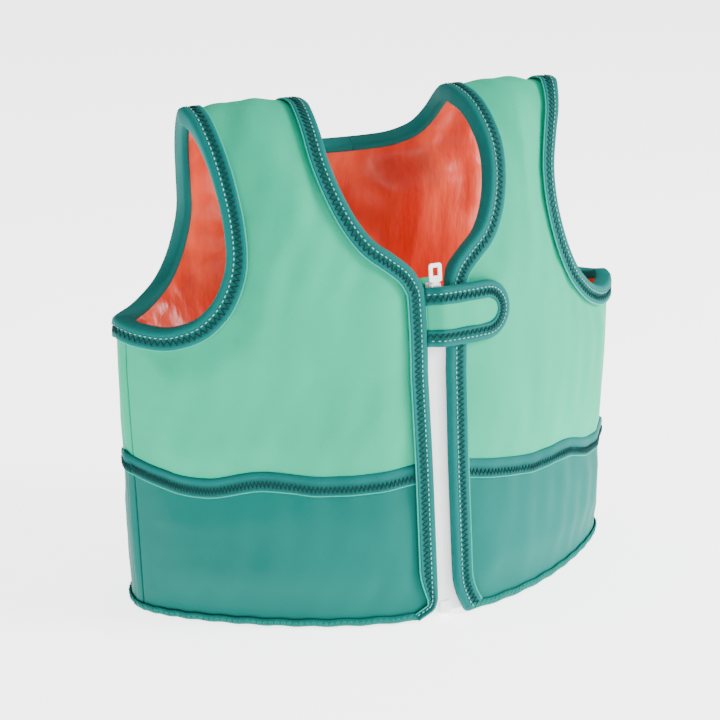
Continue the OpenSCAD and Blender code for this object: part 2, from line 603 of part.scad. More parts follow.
module right_side_strip() right() side_strip(right_half, 178);
module left_side_strip() side_strip(left_half, 168);
module right_strap_top() right() strap_top();
module left_strap_top() strap_top();
module right_zip_tape() right() zip_tape(right_half);
module right_zip_coil() right() zip_coil(right_half);
module right_top_stop() right() top_stop(right_half);
module left_zip_tape() zip_tape(left_half);
module left_zip_coil() zip_coil(left_half);
module left_top_stop() top_stop(left_half);

right_front_shell();
right_front_band();
right_front_foam();
right_front_lining();
right_front_binding();
right_front_armhole_binding();
right_front_hem();
right_wave_tape();
left_front_shell();
left_front_band();
left_front_foam();
left_front_lining();
left_front_binding();
left_front_armhole_binding();
left_front_hem();
left_wave_tape();
back_shell();
back_band();
back_foam_right();
back_foam_left();
back_lining();
back_neck_binding();
back_armhole_binding_right();
back_armhole_binding_left();
back_hem();
back_wave_tape();
right_side_strip();
left_side_strip();
right_strap_top();
left_strap_top();
right_zip_tape();
right_zip_coil();
right_top_stop();
zip_box();
zip_guard();
left_zip_tape();
left_zip_coil();
left_top_stop();
zip_pin();
zip_slider();
zip_pull();
tab_anchor();
tab_panel();
tab_binding();
tab_hook_patch();
tab_loop_patch();
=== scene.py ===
# %% [markdown]
# # A child's foam swim vest
# The vest stands open on its hem, worn round, with the zip closed under a short tab.
# Its cloth lies on one body surface, so every panel, binding, tape and stitch below is
# addressed in the same two numbers: an angle round the body and a length up the body.
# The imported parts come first. They hold the true places, and nothing here moves them.

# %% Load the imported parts
import math

import bpy
import numpy as np
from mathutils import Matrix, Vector


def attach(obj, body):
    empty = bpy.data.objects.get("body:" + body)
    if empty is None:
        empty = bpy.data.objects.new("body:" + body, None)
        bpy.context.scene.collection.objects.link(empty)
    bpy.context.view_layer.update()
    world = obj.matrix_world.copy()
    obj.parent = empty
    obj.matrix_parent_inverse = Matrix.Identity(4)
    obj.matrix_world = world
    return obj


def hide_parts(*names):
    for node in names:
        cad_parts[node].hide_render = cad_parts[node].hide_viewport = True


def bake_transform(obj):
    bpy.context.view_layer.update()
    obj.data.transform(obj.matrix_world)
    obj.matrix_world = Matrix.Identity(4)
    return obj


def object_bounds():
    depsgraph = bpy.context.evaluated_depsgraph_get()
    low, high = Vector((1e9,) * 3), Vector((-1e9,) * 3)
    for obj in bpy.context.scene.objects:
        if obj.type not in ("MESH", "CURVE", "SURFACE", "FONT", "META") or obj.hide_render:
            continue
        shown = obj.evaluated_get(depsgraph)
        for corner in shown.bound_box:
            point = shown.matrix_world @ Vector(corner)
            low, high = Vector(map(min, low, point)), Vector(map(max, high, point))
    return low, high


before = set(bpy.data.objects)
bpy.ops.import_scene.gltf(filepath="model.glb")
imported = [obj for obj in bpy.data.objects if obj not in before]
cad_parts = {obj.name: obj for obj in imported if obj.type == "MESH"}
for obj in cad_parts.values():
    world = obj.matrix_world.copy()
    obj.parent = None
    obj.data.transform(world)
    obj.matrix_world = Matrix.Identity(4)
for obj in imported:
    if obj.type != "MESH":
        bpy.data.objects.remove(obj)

cad_low, cad_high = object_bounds()
print("packed size in mm", [round((h - l) * 1000, 1) for l, h in zip(cad_low, cad_high)])

# %% [markdown]
# The camera looks down a little on the vest's front from its right side. It is a long
# lens from far away, as product pictures are taken, so near and far edges differ little.

# %% Camera
VIEW_AZIMUTH, VIEW_ELEVATION = math.radians(-26.6), math.radians(17.0)
VIEW_DISTANCE, FOCAL = 1.365, 110.6
VIEW_SIDE, VIEW_RISE = -0.0085, -0.0152
back_way = np.array([math.sin(VIEW_AZIMUTH) * math.cos(VIEW_ELEVATION),
                     -math.cos(VIEW_AZIMUTH) * math.cos(VIEW_ELEVATION), math.sin(VIEW_ELEVATION)])
side_way = np.array([math.cos(VIEW_AZIMUTH), math.sin(VIEW_AZIMUTH), 0.0])
up_way = np.cross(back_way, side_way)
height = cad_high.z - cad_low.z
SIDE_LINE = 0.007
target = np.array([0, SIDE_LINE, height / 2]) + side_way * VIEW_SIDE + up_way * VIEW_RISE
camera = bpy.data.objects.new("camera", bpy.data.cameras.new("camera"))
bpy.context.collection.objects.link(camera)
camera.data.lens, camera.data.sensor_width = FOCAL, 36
camera.rotation_mode = "QUATERNION"
camera.location = Vector(target + back_way * VIEW_DISTANCE)
camera.rotation_quaternion = Vector(-back_way).to_track_quat("-Z", "Y")
bpy.context.scene.camera = camera

# %% [markdown]
# ## The body surface
# A worn vest is a tube that is wider than it is deep, drawn in over the shoulders.
# One function gives any point of it, so panels, bindings and stitches always agree.

# %% Sizes in millimetres
HEIGHT = height * 1000
HEM_HALF, CHEST_HALF = 161.0, 167.0
FRONT_HEM, FRONT_CHEST, BACK_HEM, BACK_CHEST = 98.0, 83.0, 84.0, 58.0
DRAWN_IN = 0.4
SHOULDER = HEIGHT / 2
ARC = 1.25 * (HEIGHT - SHOULDER)
RIDGE = SHOULDER + ARC
STRAP_FOLD = 14.0
DEPTH = 6.0
EDGE_X = 7.3
SEAM_ANGLE = 82.0
STRIP_SPAN = 90.0 - SEAM_ANGLE
HEM_V = 2.1
MM = 0.001


def mix(a, b, t):
    """a at t = 0, b at t = 1, and in between on a straight line."""
    return a + (b - a) * t


def smooth(t):
    """t cut to 0..1, then 3 t squared less 2 t cubed: a soft step."""
    t = np.clip(t, 0, 1)
    return t * t * (3 - 2 * t)


def unit(a):
    """Each vector over its own length."""
    return a / np.linalg.norm(a, axis=-1, keepdims=True)


def torso(f, v):
    """x is the half width times sin f. y is the depth times cos f, and z is v, until the
    shoulder, where both follow a quarter circle: z its sine, y its cosine."""
    f, v = np.broadcast_arrays(np.asarray(f, float), np.asarray(v, float))
    bend = np.radians(np.maximum(0, (v - SHOULDER) / ARC * 90))
    k = np.clip(v / SHOULDER, 0, 1)
    s, c = np.sin(np.radians(f)), np.cos(np.radians(f)) * np.cos(bend)
    front = mix(FRONT_HEM, FRONT_CHEST, k) * (1 - DRAWN_IN * s * s)
    depth = np.where(c > 0, front, mix(BACK_HEM, BACK_CHEST, k))
    z = np.where(v < SHOULDER, v, SHOULDER + (HEIGHT - SHOULDER) * np.sin(bend))
    return np.stack([mix(HEM_HALF, CHEST_HALF, k) * s, SIDE_LINE / MM - depth * c, z], -1)


def slopes(f, v, step=0.4):
    """How the place changes for one degree round and for one millimetre up."""
    return ((torso(f + step, v) - torso(f - step, v)) / (2 * step),
            (torso(f, v + step) - torso(f, v - step)) / (2 * step))


def lift(f, v, o):
    """The body point plus o millimetres along the cross product of the two slopes."""
    round_way, up = slopes(np.asarray(f, float), np.asarray(v, float))
    return torso(f, v) + unit(np.cross(round_way, up)) * np.asarray(o, float)[..., None]


def length_up(z):
    """z below the shoulder; above it the arc whose sine reaches z."""
    z = np.asarray(z, float)
    over = np.clip((z - SHOULDER) / (HEIGHT - SHOULDER), 0, 1)
    return np.where(z < SHOULDER, z, SHOULDER + ARC * np.degrees(np.arcsin(over)) / 90)


def curve(points, u):
    """Smooth curve through the points: on each stretch a cubic whose end slopes are half
    the step between the neighbours (Catmull-Rom)."""
    p, u = np.asarray(points, float), np.asarray(u, float)
    n = len(p) - 1
    i = np.clip(np.floor(u * n).astype(int), 0, n - 1)
    t = (u * n - i)[..., None]
    a, b, c, d = (p[np.clip(i + k, 0, n)] for k in (-1, 0, 1, 2))
    return 0.5 * (2 * b + (c - a) * t + (2 * a - 5 * b + 4 * c - d) * t ** 2
                  + (3 * b - a - 3 * c + d) * t ** 3)


print("side of the chest at", torso(90, SHOULDER).round(1), "mm")

# %% [markdown]
# ## Outlines
# A sewing pattern gives each panel as an outline. Here an outline is a few points of
# angle and height, for the neck, the armhole and the colour seam. The two armholes
# differ a little, as they do on a vest that stands by itself.

# %% Outlines as angle and height
DRAWN = 298.5
NECK_FRONT = [[5, 209], [8.5, 218], [12.5, 227], [15.5, 240], [17.6, 256], [18.6, 271],
              [18.4, 284], [17.9, 293], [17.2, 298.5]]
NECK_BACK = [[5, 265.2], [9, 266], [12.4, 268.5], [14.8, 272], [16.4, 277.5], [17.4, 284.5],
             [17.6, 292], [17.2, 298.5]]
ARM_FRONT = {
    "right": [[82, 179.5], [71, 177.4], [62, 176.8], [54.5, 181], [50, 188], [46.3, 199],
              [43.5, 217], [43.2, 238], [44, 258], [45.1, 275], [46.3, 288], [47.4, 298.5]],
    "left": [[82, 170], [71, 168], [62, 168], [54, 173], [48, 181], [42.7, 193],
             [38.6, 211], [36.4, 232], [36.8, 252], [39.8, 270], [43.6, 285], [47.4, 298.5]]}
ARM_BACK = {
    "right": [[90, 181], [81, 178.7], [72, 178], [63, 179], [55, 184.5], [49, 194],
              [44.8, 210], [42.6, 232], [43.6, 254], [45, 272], [46.2, 287], [47.4, 298.5]],
    "left": [[90, 171], [81, 169], [72, 168.7], [63, 170.5], [55, 177], [49, 188],
             [44.5, 206], [42.6, 230], [43.6, 253], [45, 272], [46.2, 287], [47.4, 298.5]]}
MID_FRONT = {"right": [[3, 198], [20, 188], [45, 168], [64, 162], [82, 179.5]],
             "left": [[3, 198], [20, 185], [45, 160], [64, 153], [82, 170]]}
MID_BACK = {"right": [[0, 265], [25, 222], [45, 184], [62, 163], [80, 169], [90, 181]],
            "left": [[0, 265], [25, 218], [45, 176], [62, 154], [80, 160], [90, 171]]}
WAVE_FRONT = {
    "right": [[0, 92], [12, 88], [24, 87.5], [36, 91.5], [48, 86], [60, 88.5], [75, 93], [90, 96]],
    "left": [[0, 91], [12, 85], [24, 80], [36, 79.5], [48, 71.5], [60, 70], [75, 69.5], [90, 68]]}
WAVE_BACK = {"right": [[0, 82], [18, 86], [36, 82], [54, 86], [72, 92], [90, 96]],
             "left": [[0, 82], [18, 84], [36, 77], [54, 75], [72, 70], [90, 68]]}


def raised(points):
    """The same points with each height turned into a length up the body."""
    p = np.asarray(points, float)
    return np.stack([p[:, 0], length_up(p[:, 1] * HEIGHT / DRAWN)], -1)


def edge(start, points):
    """An outline that starts at the mid line and stops where the strap folds over."""
    p = raised(points)
    p[-1, 1] = RIDGE - STRAP_FOLD
    return p if start is None else np.vstack([start, p])


def level_at(points, f):
    """Length up of an outline whose knots are evenly spread over the angle."""
    p = np.asarray(points, float)
    return curve(raised(p), np.clip(np.asarray(f, float) / p[-1, 0], 0, 1))[..., 1]


def angle_at(x, v):
    """Angle whose sine times the half width gives x."""
    return np.degrees(np.arcsin(x / mix(HEM_HALF, CHEST_HALF, np.clip(v / SHOULDER, 0, 1))))


# %% [markdown]
# ## Panel grids
# Each half of the vest is a grid: rows climb from the hem past the colour seam and the
# widest part of the chest into the strap, and columns run from the inner edge to the
# outer one. A regular grid is easy to inflate, to split at the colour seam and to bind.

# %% Grid of one half
LOW_ROWS, CHEST_ROWS, YOKE_ROWS, FOLD_ROWS, COLUMNS = 18, 20, 44, 8, 44
WAVE_ROW = LOW_ROWS
MID_ROW = WAVE_ROW + CHEST_ROWS
TOP_ROW = MID_ROW + YOKE_ROWS
CORNER_ROUND, FLARE, FLARE_TALL = 12.0, 9.0, 26.0
FOAM_FULL, FOAM_START, FOAM_RISE = 15.0, 8.0, 26.0


def inner_x(side, back, v):
    """Distance of the inner edge from the centre line. At the foot the right one turns
    outwards on a quarter circle, and the left one drifts outwards by a square."""
    if back:
        return v * 0
    if side == "left":
        return EDGE_X + FLARE * np.clip((FLARE_TALL - v) / FLARE_TALL, 0, 1) ** 2
    t = np.clip((CORNER_ROUND - (v - HEM_V)) / CORNER_ROUND, 0, 1)
    return EDGE_X + CORNER_ROUND * (1 - np.sqrt(1 - t * t))


def half_grid(side, back):
    """Angle f and length up v for each row and column. Below the mid line v is a straight
    mix between the hem, the colour seam and the mid line; above it the row is a mix of
    the neck and armhole outlines, bent like the mid line and straightening upwards."""
    mid = raised((MID_BACK if back else MID_FRONT)[side])
    neck = edge(mid[0], NECK_BACK if back else NECK_FRONT)
    arm = edge(None, (ARM_BACK if back else ARM_FRONT)[side])
    wave = (WAVE_BACK if back else WAVE_FRONT)[side]
    outer_f = 90.0 if back else SEAM_ANGLE
    s = np.linspace(0, 1, COLUMNS + 1)[None, :]
    m = curve(mid, s[0])[None]
    low = np.linspace(0, 1, LOW_ROWS + 1)[:, None]
    start = angle_at(inner_x(side, back, np.full(1, 100.0)), 100.0)[0]
    f0 = mix(start, outer_f, s)
    wave_v = level_at(wave, f0)
    v_low = mix(HEM_V, wave_v, low)
    inner = angle_at(inner_x(side, back, v_low[:, :1]), v_low[:, :1])
    f_low = mix(inner, outer_f, s) + v_low * 0
    q = np.linspace(0, 1, CHEST_ROWS + 1)[1:, None]
    v_mid, f_mid = mix(wave_v, m[..., 1], q), mix(f0, m[..., 0], q)
    u = np.linspace(0, 1, YOKE_ROWS + 1)[1:]
    chord = mix(mid[0], mid[-1], s[0][:, None])[None]
    yoke = (mix(curve(neck, u)[:, None], curve(arm, u)[:, None], s[..., None])
            + (m - chord) * ((1 - u) ** 1.5)[:, None, None])
    f, v = np.vstack([f_low, f_mid, yoke[..., 0]]), np.vstack([v_low, v_mid, yoke[..., 1]])
    if not back:
        over = np.linspace(0, 1, FOLD_ROWS + 1)[1:, None]
        v = np.vstack([v, v[-1:] + over * 2 * STRAP_FOLD])
        f = np.vstack([f, f[-1:] + over * 0])
    return (180 - f if back else f), v


def foam_depth(f, v):
    """Foam thickness, and how far away the nearest edge is. The thickness is a soft step from
    FOAM_START off the edge, full FOAM_RISE further in, and it fades out below the shoulder."""
    here = torso(f, v)
    rim = np.vstack([here[:TOP_ROW + 1, 0], here[:TOP_ROW + 1, -1], here[0]])
    away = np.linalg.norm(here[:, :, None] - rim[None, None, ::3], axis=-1).min(-1)
    fade = 1 - smooth((here[..., 2] - 0.8 * HEIGHT) / (0.12 * HEIGHT))
    return FOAM_FULL * smooth((away - FOAM_START) / FOAM_RISE) * fade, away


HALVES = [("right", False), ("left", False), ("right", True), ("left", True)]
grids = {half: half_grid(*half) for half in HALVES}
print("grid of a front half", grids["left", False][0].shape)

# %% [markdown]
# ## Meshes from grids
# Two grids, an outer and an inner one, make a closed sheet once their rims are joined.
# A profile carried along a path makes a closed tube. Both are worked out as whole
# arrays, and a volume test turns the faces if they would point inwards.


# %% Mesh helpers
THREAD_SIDES = 5


def quads_of(a, b, c, d):
    """Four index arrays as rows of four corners."""
    return np.stack([x.ravel() for x in (a, b, c, d)], -1)


def sheet_faces(rows, cols, open_left=0):
    """Corners of the outer grid's cells, the same cells underneath turned round, and a
    wall along each border. open_left rows of the left wall are left out for joining."""
    i = np.arange(rows * cols).reshape(rows, cols)
    under = rows * cols
    top = quads_of(i[:-1, :-1], i[:-1, 1:], i[1:, 1:], i[1:, :-1])
    below = top[:, ::-1] + under
    left = i[open_left:, 0][::-1]
    walls = [quads_of(p[1:], p[:-1], p[:-1] + under, p[1:] + under)
             for p in (i[0], i[:, -1], i[-1][::-1], left)]
    return np.vstack([top, below, *walls])


def tube_faces(count, sides, closed=False):
    """Cells between neighbouring rings; a closed tube also joins its last ring to its first."""
    i = np.arange(count * sides).reshape(count, sides)
    if closed:
        i = np.vstack([i, i[:1]])
    j = np.roll(i, -1, 1)
    return quads_of(i[:-1], i[1:], j[1:], j[:-1])


def tube(count, sides, closed=False):
    """A tube's cells, and the two ends of an open one as single faces."""
    last = (count - 1) * sides
    ends = [] if closed else [list(range(sides)), list(range(last, last + sides))[::-1]]
    return tube_faces(count, sides, closed), ends


def volume(points, quads):
    """Sum over the faces' triangles of corner a . (b x c), over six."""
    a, b, c, d = (points[quads[:, k]] for k in range(4))
    return ((a * np.cross(b, c)).sum() + (a * np.cross(c, d)).sum()) / 6


def thread_rings(line, out, radius, closed=False):
    """Five points round every point of a line, by cosine along out and by sine along the
    direction square to it and to the line."""
    ahead = unit(np.roll(line, -1, 0) - np.roll(line, 1, 0) if closed else np.gradient(line, axis=0))
    beside = unit(np.cross(ahead, out))
    turn = np.linspace(0, 2 * np.pi, THREAD_SIDES, endpoint=False)[None, :, None]
    return line[:, None] + radius * (np.cos(turn) * out[:, None] + np.sin(turn) * beside[:, None])


def make_piece(name, points, quads, material, caps=(), uv=None, slot=None):
    """Puts points in millimetres and faces of four corners into a mesh object."""
    points = points.reshape(-1, 3)
    if volume(points - points.mean(0), quads) < 0:
        quads, caps = quads[:, ::-1], [c[::-1] for c in caps]
    mesh = bpy.data.meshes.new(name)
    mesh.from_pydata((points * MM).tolist(), [], quads.tolist() + [list(map(int, c)) for c in caps])
    mesh.polygons.foreach_set("use_smooth", np.ones(len(mesh.polygons), bool))
    if uv is not None:
        corner = np.zeros(len(mesh.loops), int)
        mesh.loops.foreach_get("vertex_index", corner)
        layer = mesh.uv_layers.new(name="UVMap")
        layer.data.foreach_set("uv", uv.reshape(-1, 2)[corner].ravel().astype(np.float32))
    mesh.materials.append(material)
    piece = bpy.data.objects.new(name, mesh)
    bpy.context.collection.objects.link(piece)
    return piece


def merged(parts):
    """Several (points, quads) as one, with points at the same place made one point."""
    points, faces, n = [], [], 0
    for p, q in parts:
        points.append(p.reshape(-1, 3))
        faces.append(q + n)
        n += points[-1].shape[0]
    points = np.vstack(points)
    _, first, where = np.unique(points.round(4), axis=0, return_index=True, return_inverse=True)
    return points[first], where.ravel()[np.vstack(faces)]


def mirror(points, side):
    """Everything is worked out on the wearer's left; the right has x turned round."""
    return points * np.array([-1.0 if side == "right" else 1.0, 1, 1])


def soften(piece, levels=1):
    """One subdivision, the same in view and in render, rounds the cells' corners."""
    modifier = piece.modifiers.new("soft", "SUBSURF")
    modifier.levels = modifier.render_levels = levels
    return piece


# %% [markdown]
# ## Cloth colours
# The shell is neoprene faced with a fine knit: matt, with a faint fuzz that lightens at
# grazing angles. The knit is a tiny bump from noise in Object coordinates, so it has the
# same size on every panel. A slow noise shifts the colour a little, as dye does.


# %% Knit-faced neoprene
def linear(*rgb):
    """Screen values 0..255 as linear light, by the sRGB power curve."""
    c = np.array(rgb) / 255
    return [*np.where(c <= 0.04045, c / 12.92, ((c + 0.055) / 1.055) ** 2.4), 1.0]


class Finish:
    """A material whose nodes are added one call at a time."""

    def __init__(self, name, rough, sheen=0.0, tint=None, **sockets):
        self.material = bpy.data.materials.new(name)
        self.material.use_nodes = True
        self.nodes = self.material.node_tree.nodes
        self.links = self.material.node_tree.links
        self.shader = self.nodes["Principled BSDF"]
        self.set(self.shader, Roughness=rough, **sockets)
        self.shader.inputs["Sheen Weight"].default_value = sheen
        self.shader.inputs["Sheen Roughness"].default_value = 0.45
        if tint:
            self.shader.inputs["Sheen Tint"].default_value = tint
        self.place = self.nodes.new("ShaderNodeTexCoord")

    @staticmethod
    def set(node, **values):
        for key, value in values.items():
            node.inputs[key.replace("_", " ")].default_value = value
        return node

    def node(self, kind, links=None, **values):
        made = self.set(self.nodes.new(kind), **values)
        for key, source in (links or {}).items():
            self.links.new(source, made.inputs[key])
        return made

    def noise(self, scale, detail=2.0, stretch=None, uv=False, rough=0.5):
        where = self.place.outputs["UV" if uv else "Object"]
        if stretch:
            mapping = self.node("ShaderNodeMapping", {"Vector": where})
            mapping.inputs["Scale"].default_value = stretch
            where = mapping.outputs["Vector"]
        return self.node("ShaderNodeTexNoise", {"Vector": where}, Scale=scale, Detail=detail,
                         Roughness=rough)

    def ramp(self, factor, stops):
        made = self.node("ShaderNodeValToRGB", {"Fac": factor})
        ramp = made.color_ramp
        while len(ramp.elements) < len(stops):
            ramp.elements.new(0.5)
        for element, (at, colour) in zip(ramp.elements, stops):
            element.position, element.color = at, colour
        return made

    def blend(self, factor, a, b, mode="MIX"):
        made = self.nodes.new("ShaderNodeMix")
        made.data_type, made.blend_type = "RGBA", mode
        for socket, value in ((0, factor), (6, a), (7, b)):
            if hasattr(value, "is_output"):
                self.links.new(value, made.inputs[socket])
            else:
                made.inputs[socket].default_value = value
        return made.outputs[2]

    def colour(self, socket):
        self.links.new(socket, self.shader.inputs["Base Color"])

    def roughness(self, factor, low, high):
        made = self.node("ShaderNodeMapRange", {"Value": factor}, To_Min=low, To_Max=high)
        self.links.new(made.outputs[0], self.shader.inputs["Roughness"])

    def bump(self, height_socket, strength, distance, under=None):
        made = self.node("ShaderNodeBump", {"Height": height_socket}, Strength=strength,
                         Distance=distance)
        if under:
            self.links.new(under.outputs[0], made.inputs["Normal"])
        self.links.new(made.outputs[0], self.shader.inputs["Normal"])
        return made


def neoprene(name, light, deep, sheen_tint):
    """Colour: slow noise between two shades, with a faint knit speckle over it. Bump: a
    separate, finer noise as soft dents, then the knit's loops."""
    made = Finish(name, 0.72, sheen=0.05, tint=sheen_tint, Specular_IOR_Level=0.12)
    slow = made.noise(9, 3)
    knit = made.noise(1500, 1, stretch=(1, 1, 1.7))
    shade = made.ramp(slow.outputs["Fac"], [(0.3, deep), (0.7, light)])
    speck = made.ramp(knit.outputs["Fac"], [(0.3, (0.93, 0.93, 0.93, 1)), (0.7, (1, 1, 1, 1))])
    made.colour(made.blend(1.0, shade.outputs["Color"], speck.outputs["Color"], "MULTIPLY"))
    dents = made.bump(made.noise(38, 2).outputs["Fac"], 0.22, 0.004)
    made.bump(knit.outputs["Fac"], 0.16, 0.0004, dents)
    made.roughness(slow.outputs["Fac"], 0.54, 0.68)
    return made.material


MINT = neoprene("mint_neoprene", linear(0, 178, 136), linear(0, 160, 122), linear(60, 255, 210))
TEAL = neoprene("teal_neoprene", linear(0, 108, 99), linear(0, 96, 88), linear(40, 200, 180))

# %% [markdown]
# ## Satin lining
# The lining is a bright orange satin. Long floats of thread make it smoother than the shell,
# and small creases run mostly up and down. Its gloss in streaks is partly a roughness that
# follows the creases and partly painted: a painted highlight, lighter, on the crease tops
# and a painted shade, darker, in their hollows.


# %% Satin
def satin(name, light, deep):
    """Colour by the creases' stretched noise: a painted highlight, lighter, on the crease tops
    and a painted shade, darker, in their hollows. Bump from the same creases, long in z,
    plus a fine thread line.
    """
    made = Finish(name, 0.38, sheen=0.04, tint=linear(255, 180, 140), Specular_IOR_Level=0.4,
                  Anisotropic=0.45)
    crease = made.noise(24, 4, stretch=(1.6, 1.6, 0.45), rough=0.55)
    thread = made.noise(1800, 1, stretch=(1, 1, 0.12))
    # Painted light: the ramp puts the deep colour in the crease hollows as painted shade and the light
    # colour on the crease tops as painted highlight.
    made.colour(made.ramp(crease.outputs["Fac"], [(0.34, deep), (0.68, light)]).outputs["Color"])
    creased = made.bump(crease.outputs["Fac"], 0.5, 0.006)
    made.bump(thread.outputs["Fac"], 0.08, 0.0003, creased)
    made.roughness(crease.outputs["Fac"], 0.3, 0.44)
    return made.material


# The light colour is the painted highlight and the deep colour is the painted shade of the crease ramp.
SATIN = satin("orange_satin_painted_crease_shade", linear(236, 92, 58), linear(200, 44, 20))

# %% [markdown]
# ## Binding, thread and tape
# The binding is a folded knit strip. Its middle is pressed down by a cover stitch, and
# that zone is coloured darker and patchier. The strip's own UV gives the place across it, from
# the rolled edge at 0 to the free edge at 1, so the dark zone follows every curve.


# %% Knit binding
def knit_binding(name, light, deep, groove):
    """Colour: a dark, patchy zone across u between the two needle lines, over a slow
    change of tone. Bump: the ribs along v and a coarse noise over the whole strip."""
    made = Finish(name, 0.7, sheen=0.05, tint=linear(80, 230, 210), Specular_IOR_Level=0.14)
    split = made.node("ShaderNodeSeparateXYZ", {"Vector": made.place.outputs["UV"]})
    across = split.outputs["X"]
    zone = made.ramp(across, [(0.30, (0, 0, 0, 1)), (0.40, (1, 1, 1, 1)), (0.74, (1, 1, 1, 1)),
                              (0.84, (0, 0, 0, 1))])
    slow = made.ramp(made.noise(14, 3).outputs["Fac"], [(0.3, deep), (0.7, light)])
    rough = made.noise(900, 2)
    patchy = made.ramp(rough.outputs["Fac"], [(0.35, (0.8, 0.8, 0.8, 1)), (0.65, (1, 1, 1, 1))])
    dark = made.blend(1.0, groove, patchy.outputs["Color"], "MULTIPLY")
    made.colour(made.blend(zone.outputs["Color"], slow.outputs["Color"], dark))
    first = made.bump(rough.outputs["Fac"], 0.35, 0.0007)
    rib = made.node("ShaderNodeTexWave", {"Vector": made.place.outputs["UV"]}, Scale=260,
                    Distortion=1.5, Detail=1)
    rib.bands_direction = "Y"
    made.bump(rib.outputs["Fac"], 0.12, 0.0003, first)
    return made.material


def yarn(name, light, deep, rough=0.6):
    """Colour: noise at the size of a twist, between two shades; bump the same."""
    made = Finish(name, rough, sheen=0.05, tint=light, Specular_IOR_Level=0.15)
    twist = made.noise(2600, 1)
    made.colour(made.ramp(twist.outputs["Fac"], [(0.3, deep), (0.7, light)]).outputs["Color"])
    made.bump(twist.outputs["Fac"], 0.3, 0.0003)
    return made.material


BINDING = knit_binding("binding_knit", linear(0, 100, 96), linear(0, 90, 86), linear(0, 86, 82))
DARK_THREAD = yarn("dark_thread", linear(0, 62, 60), linear(0, 42, 41))
PALE_THREAD = yarn("pale_thread", linear(150, 205, 200), linear(80, 165, 160))
HEM_THREAD = yarn("hem_thread", linear(0, 132, 120), linear(0, 108, 98))
EDGE_CORD = yarn("edge_cord", linear(30, 172, 152), linear(0, 140, 124))

# %% [markdown]
# ## White zip
# The zip is white all over: a close woven tape, and moulded parts with a slight gloss.


# %% Zip tape and plastic
def woven(name, light, deep, scale, rough=0.7):
    """Two crossed waves, along x and z, give the threads; noise breaks their evenness."""
    made = Finish(name, rough, sheen=0.15, tint=(1, 1, 1, 1), Specular_IOR_Level=0.3)
    waves = []
    for direction in ("X", "Z"):
        wave = made.node("ShaderNodeTexWave", {"Vector": made.place.outputs["Object"]},
                         Scale=scale, Distortion=0.6, Detail=1)
        wave.bands_direction = direction
        waves.append(wave.outputs["Fac"])
    cross = made.node("ShaderNodeMath", {0: waves[0], 1: waves[1]})
    shade = made.ramp(made.noise(60, 3).outputs["Fac"], [(0.3, deep), (0.7, light)])
    made.colour(shade.outputs["Color"])
    made.bump(cross.outputs[0], 0.12, 0.0003)
    return made.material


def plastic(name, light, deep):
    """Moulded plastic: nearly even colour, fine orange-peel bump, gloss that varies."""
    made = Finish(name, 0.32, Specular_IOR_Level=0.5)
    slow = made.noise(120, 3)
    made.colour(made.ramp(slow.outputs["Fac"], [(0.3, deep), (0.7, light)]).outputs["Color"])
    made.bump(made.noise(1400, 1).outputs["Fac"], 0.05, 0.0003)
    made.roughness(slow.outputs["Fac"], 0.24, 0.42)
    return made.material


ZIP_TAPE = woven("zip_tape", linear(254, 254, 255), linear(248, 248, 251), 420)
ZIP_PLASTIC = plastic("zip_plastic", linear(254, 254, 254), linear(246, 246, 248))
NAP = yarn("hook_and_loop_nap", linear(60, 190, 168), linear(28, 150, 132), 0.85)
for node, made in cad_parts.items():
    if node in ("zip_slider", "zip_pull", "right_top_stop", "left_top_stop", "zip_box", "zip_pin"):
        made.data.materials.clear()
        made.data.materials.append(ZIP_PLASTIC)

# %% [markdown]
# ## Inflating the padded panels
# A foam panel sewn shut round its rim swells between its seams. Cloth simulation does
# that: the panel is a closed skin with its rim held, and a pressure inside pushes it out
# for twenty frames. The move of each point is then capped, so the foam keeps its size. A
# low crown inside the bindings and a valley along the colour seam are added to it.

# %% Inflate one half
scene = bpy.context.scene
PRESSURE, FRAMES = 4.0, 20


def inflate(name, outer, inner, outer_cap, inner_cap):
    """Runs the cloth on the closed skin, and returns each grid's moves in millimetres, cut
    to the caps: move times cap over the larger of cap and the move's length."""
    rows, cols = outer.shape[:2]
    points = np.vstack([outer.reshape(-1, 3), inner.reshape(-1, 3)])
    skin = make_piece(name, points, sheet_faces(rows, cols), MINT)
    rim = np.zeros((rows, cols), bool)
    rim[[0, -1]] = rim[:, [0, -1]] = True
    held = np.flatnonzero(np.concatenate([rim.ravel(), rim.ravel()]))
    skin.vertex_groups.new(name="held").add(held.tolist(), 1.0, "REPLACE")
    cloth = skin.modifiers.new("cloth", "CLOTH")
    for key, value in dict(quality=5, mass=0.3, tension_stiffness=18, compression_stiffness=18,
                           shear_stiffness=8, bending_stiffness=1.2, use_pressure=True,
                           uniform_pressure_force=PRESSURE, vertex_group_mass="held").items():
        setattr(cloth.settings, key, value)
    cloth.settings.effector_weights.gravity = 0
    cloth.collision_settings.use_collision = False
    cloth.point_cache.frame_start, cloth.point_cache.frame_end = 1, FRAMES
    for step in range(1, FRAMES + 1):
        scene.frame_set(step)
    result = skin.evaluated_get(bpy.context.evaluated_depsgraph_get()).data
    after = np.zeros(len(points) * 3, np.float32)
    result.vertices.foreach_get("co", after)
    move = after.reshape(-1, 3) / MM - points
    bpy.data.objects.remove(skin)
    scene.frame_set(1)
    parts = []
    for part, cap in ((move[:rows * cols], outer_cap), (move[rows * cols:], inner_cap)):
        size = np.linalg.norm(part, axis=-1, keepdims=True)
        parts.append((part * cap / np.maximum(size, cap)).reshape(rows, cols, 3))
    print(name, "moved up to", round(float(np.linalg.norm(move, axis=1).max()), 1), "mm")
    return parts


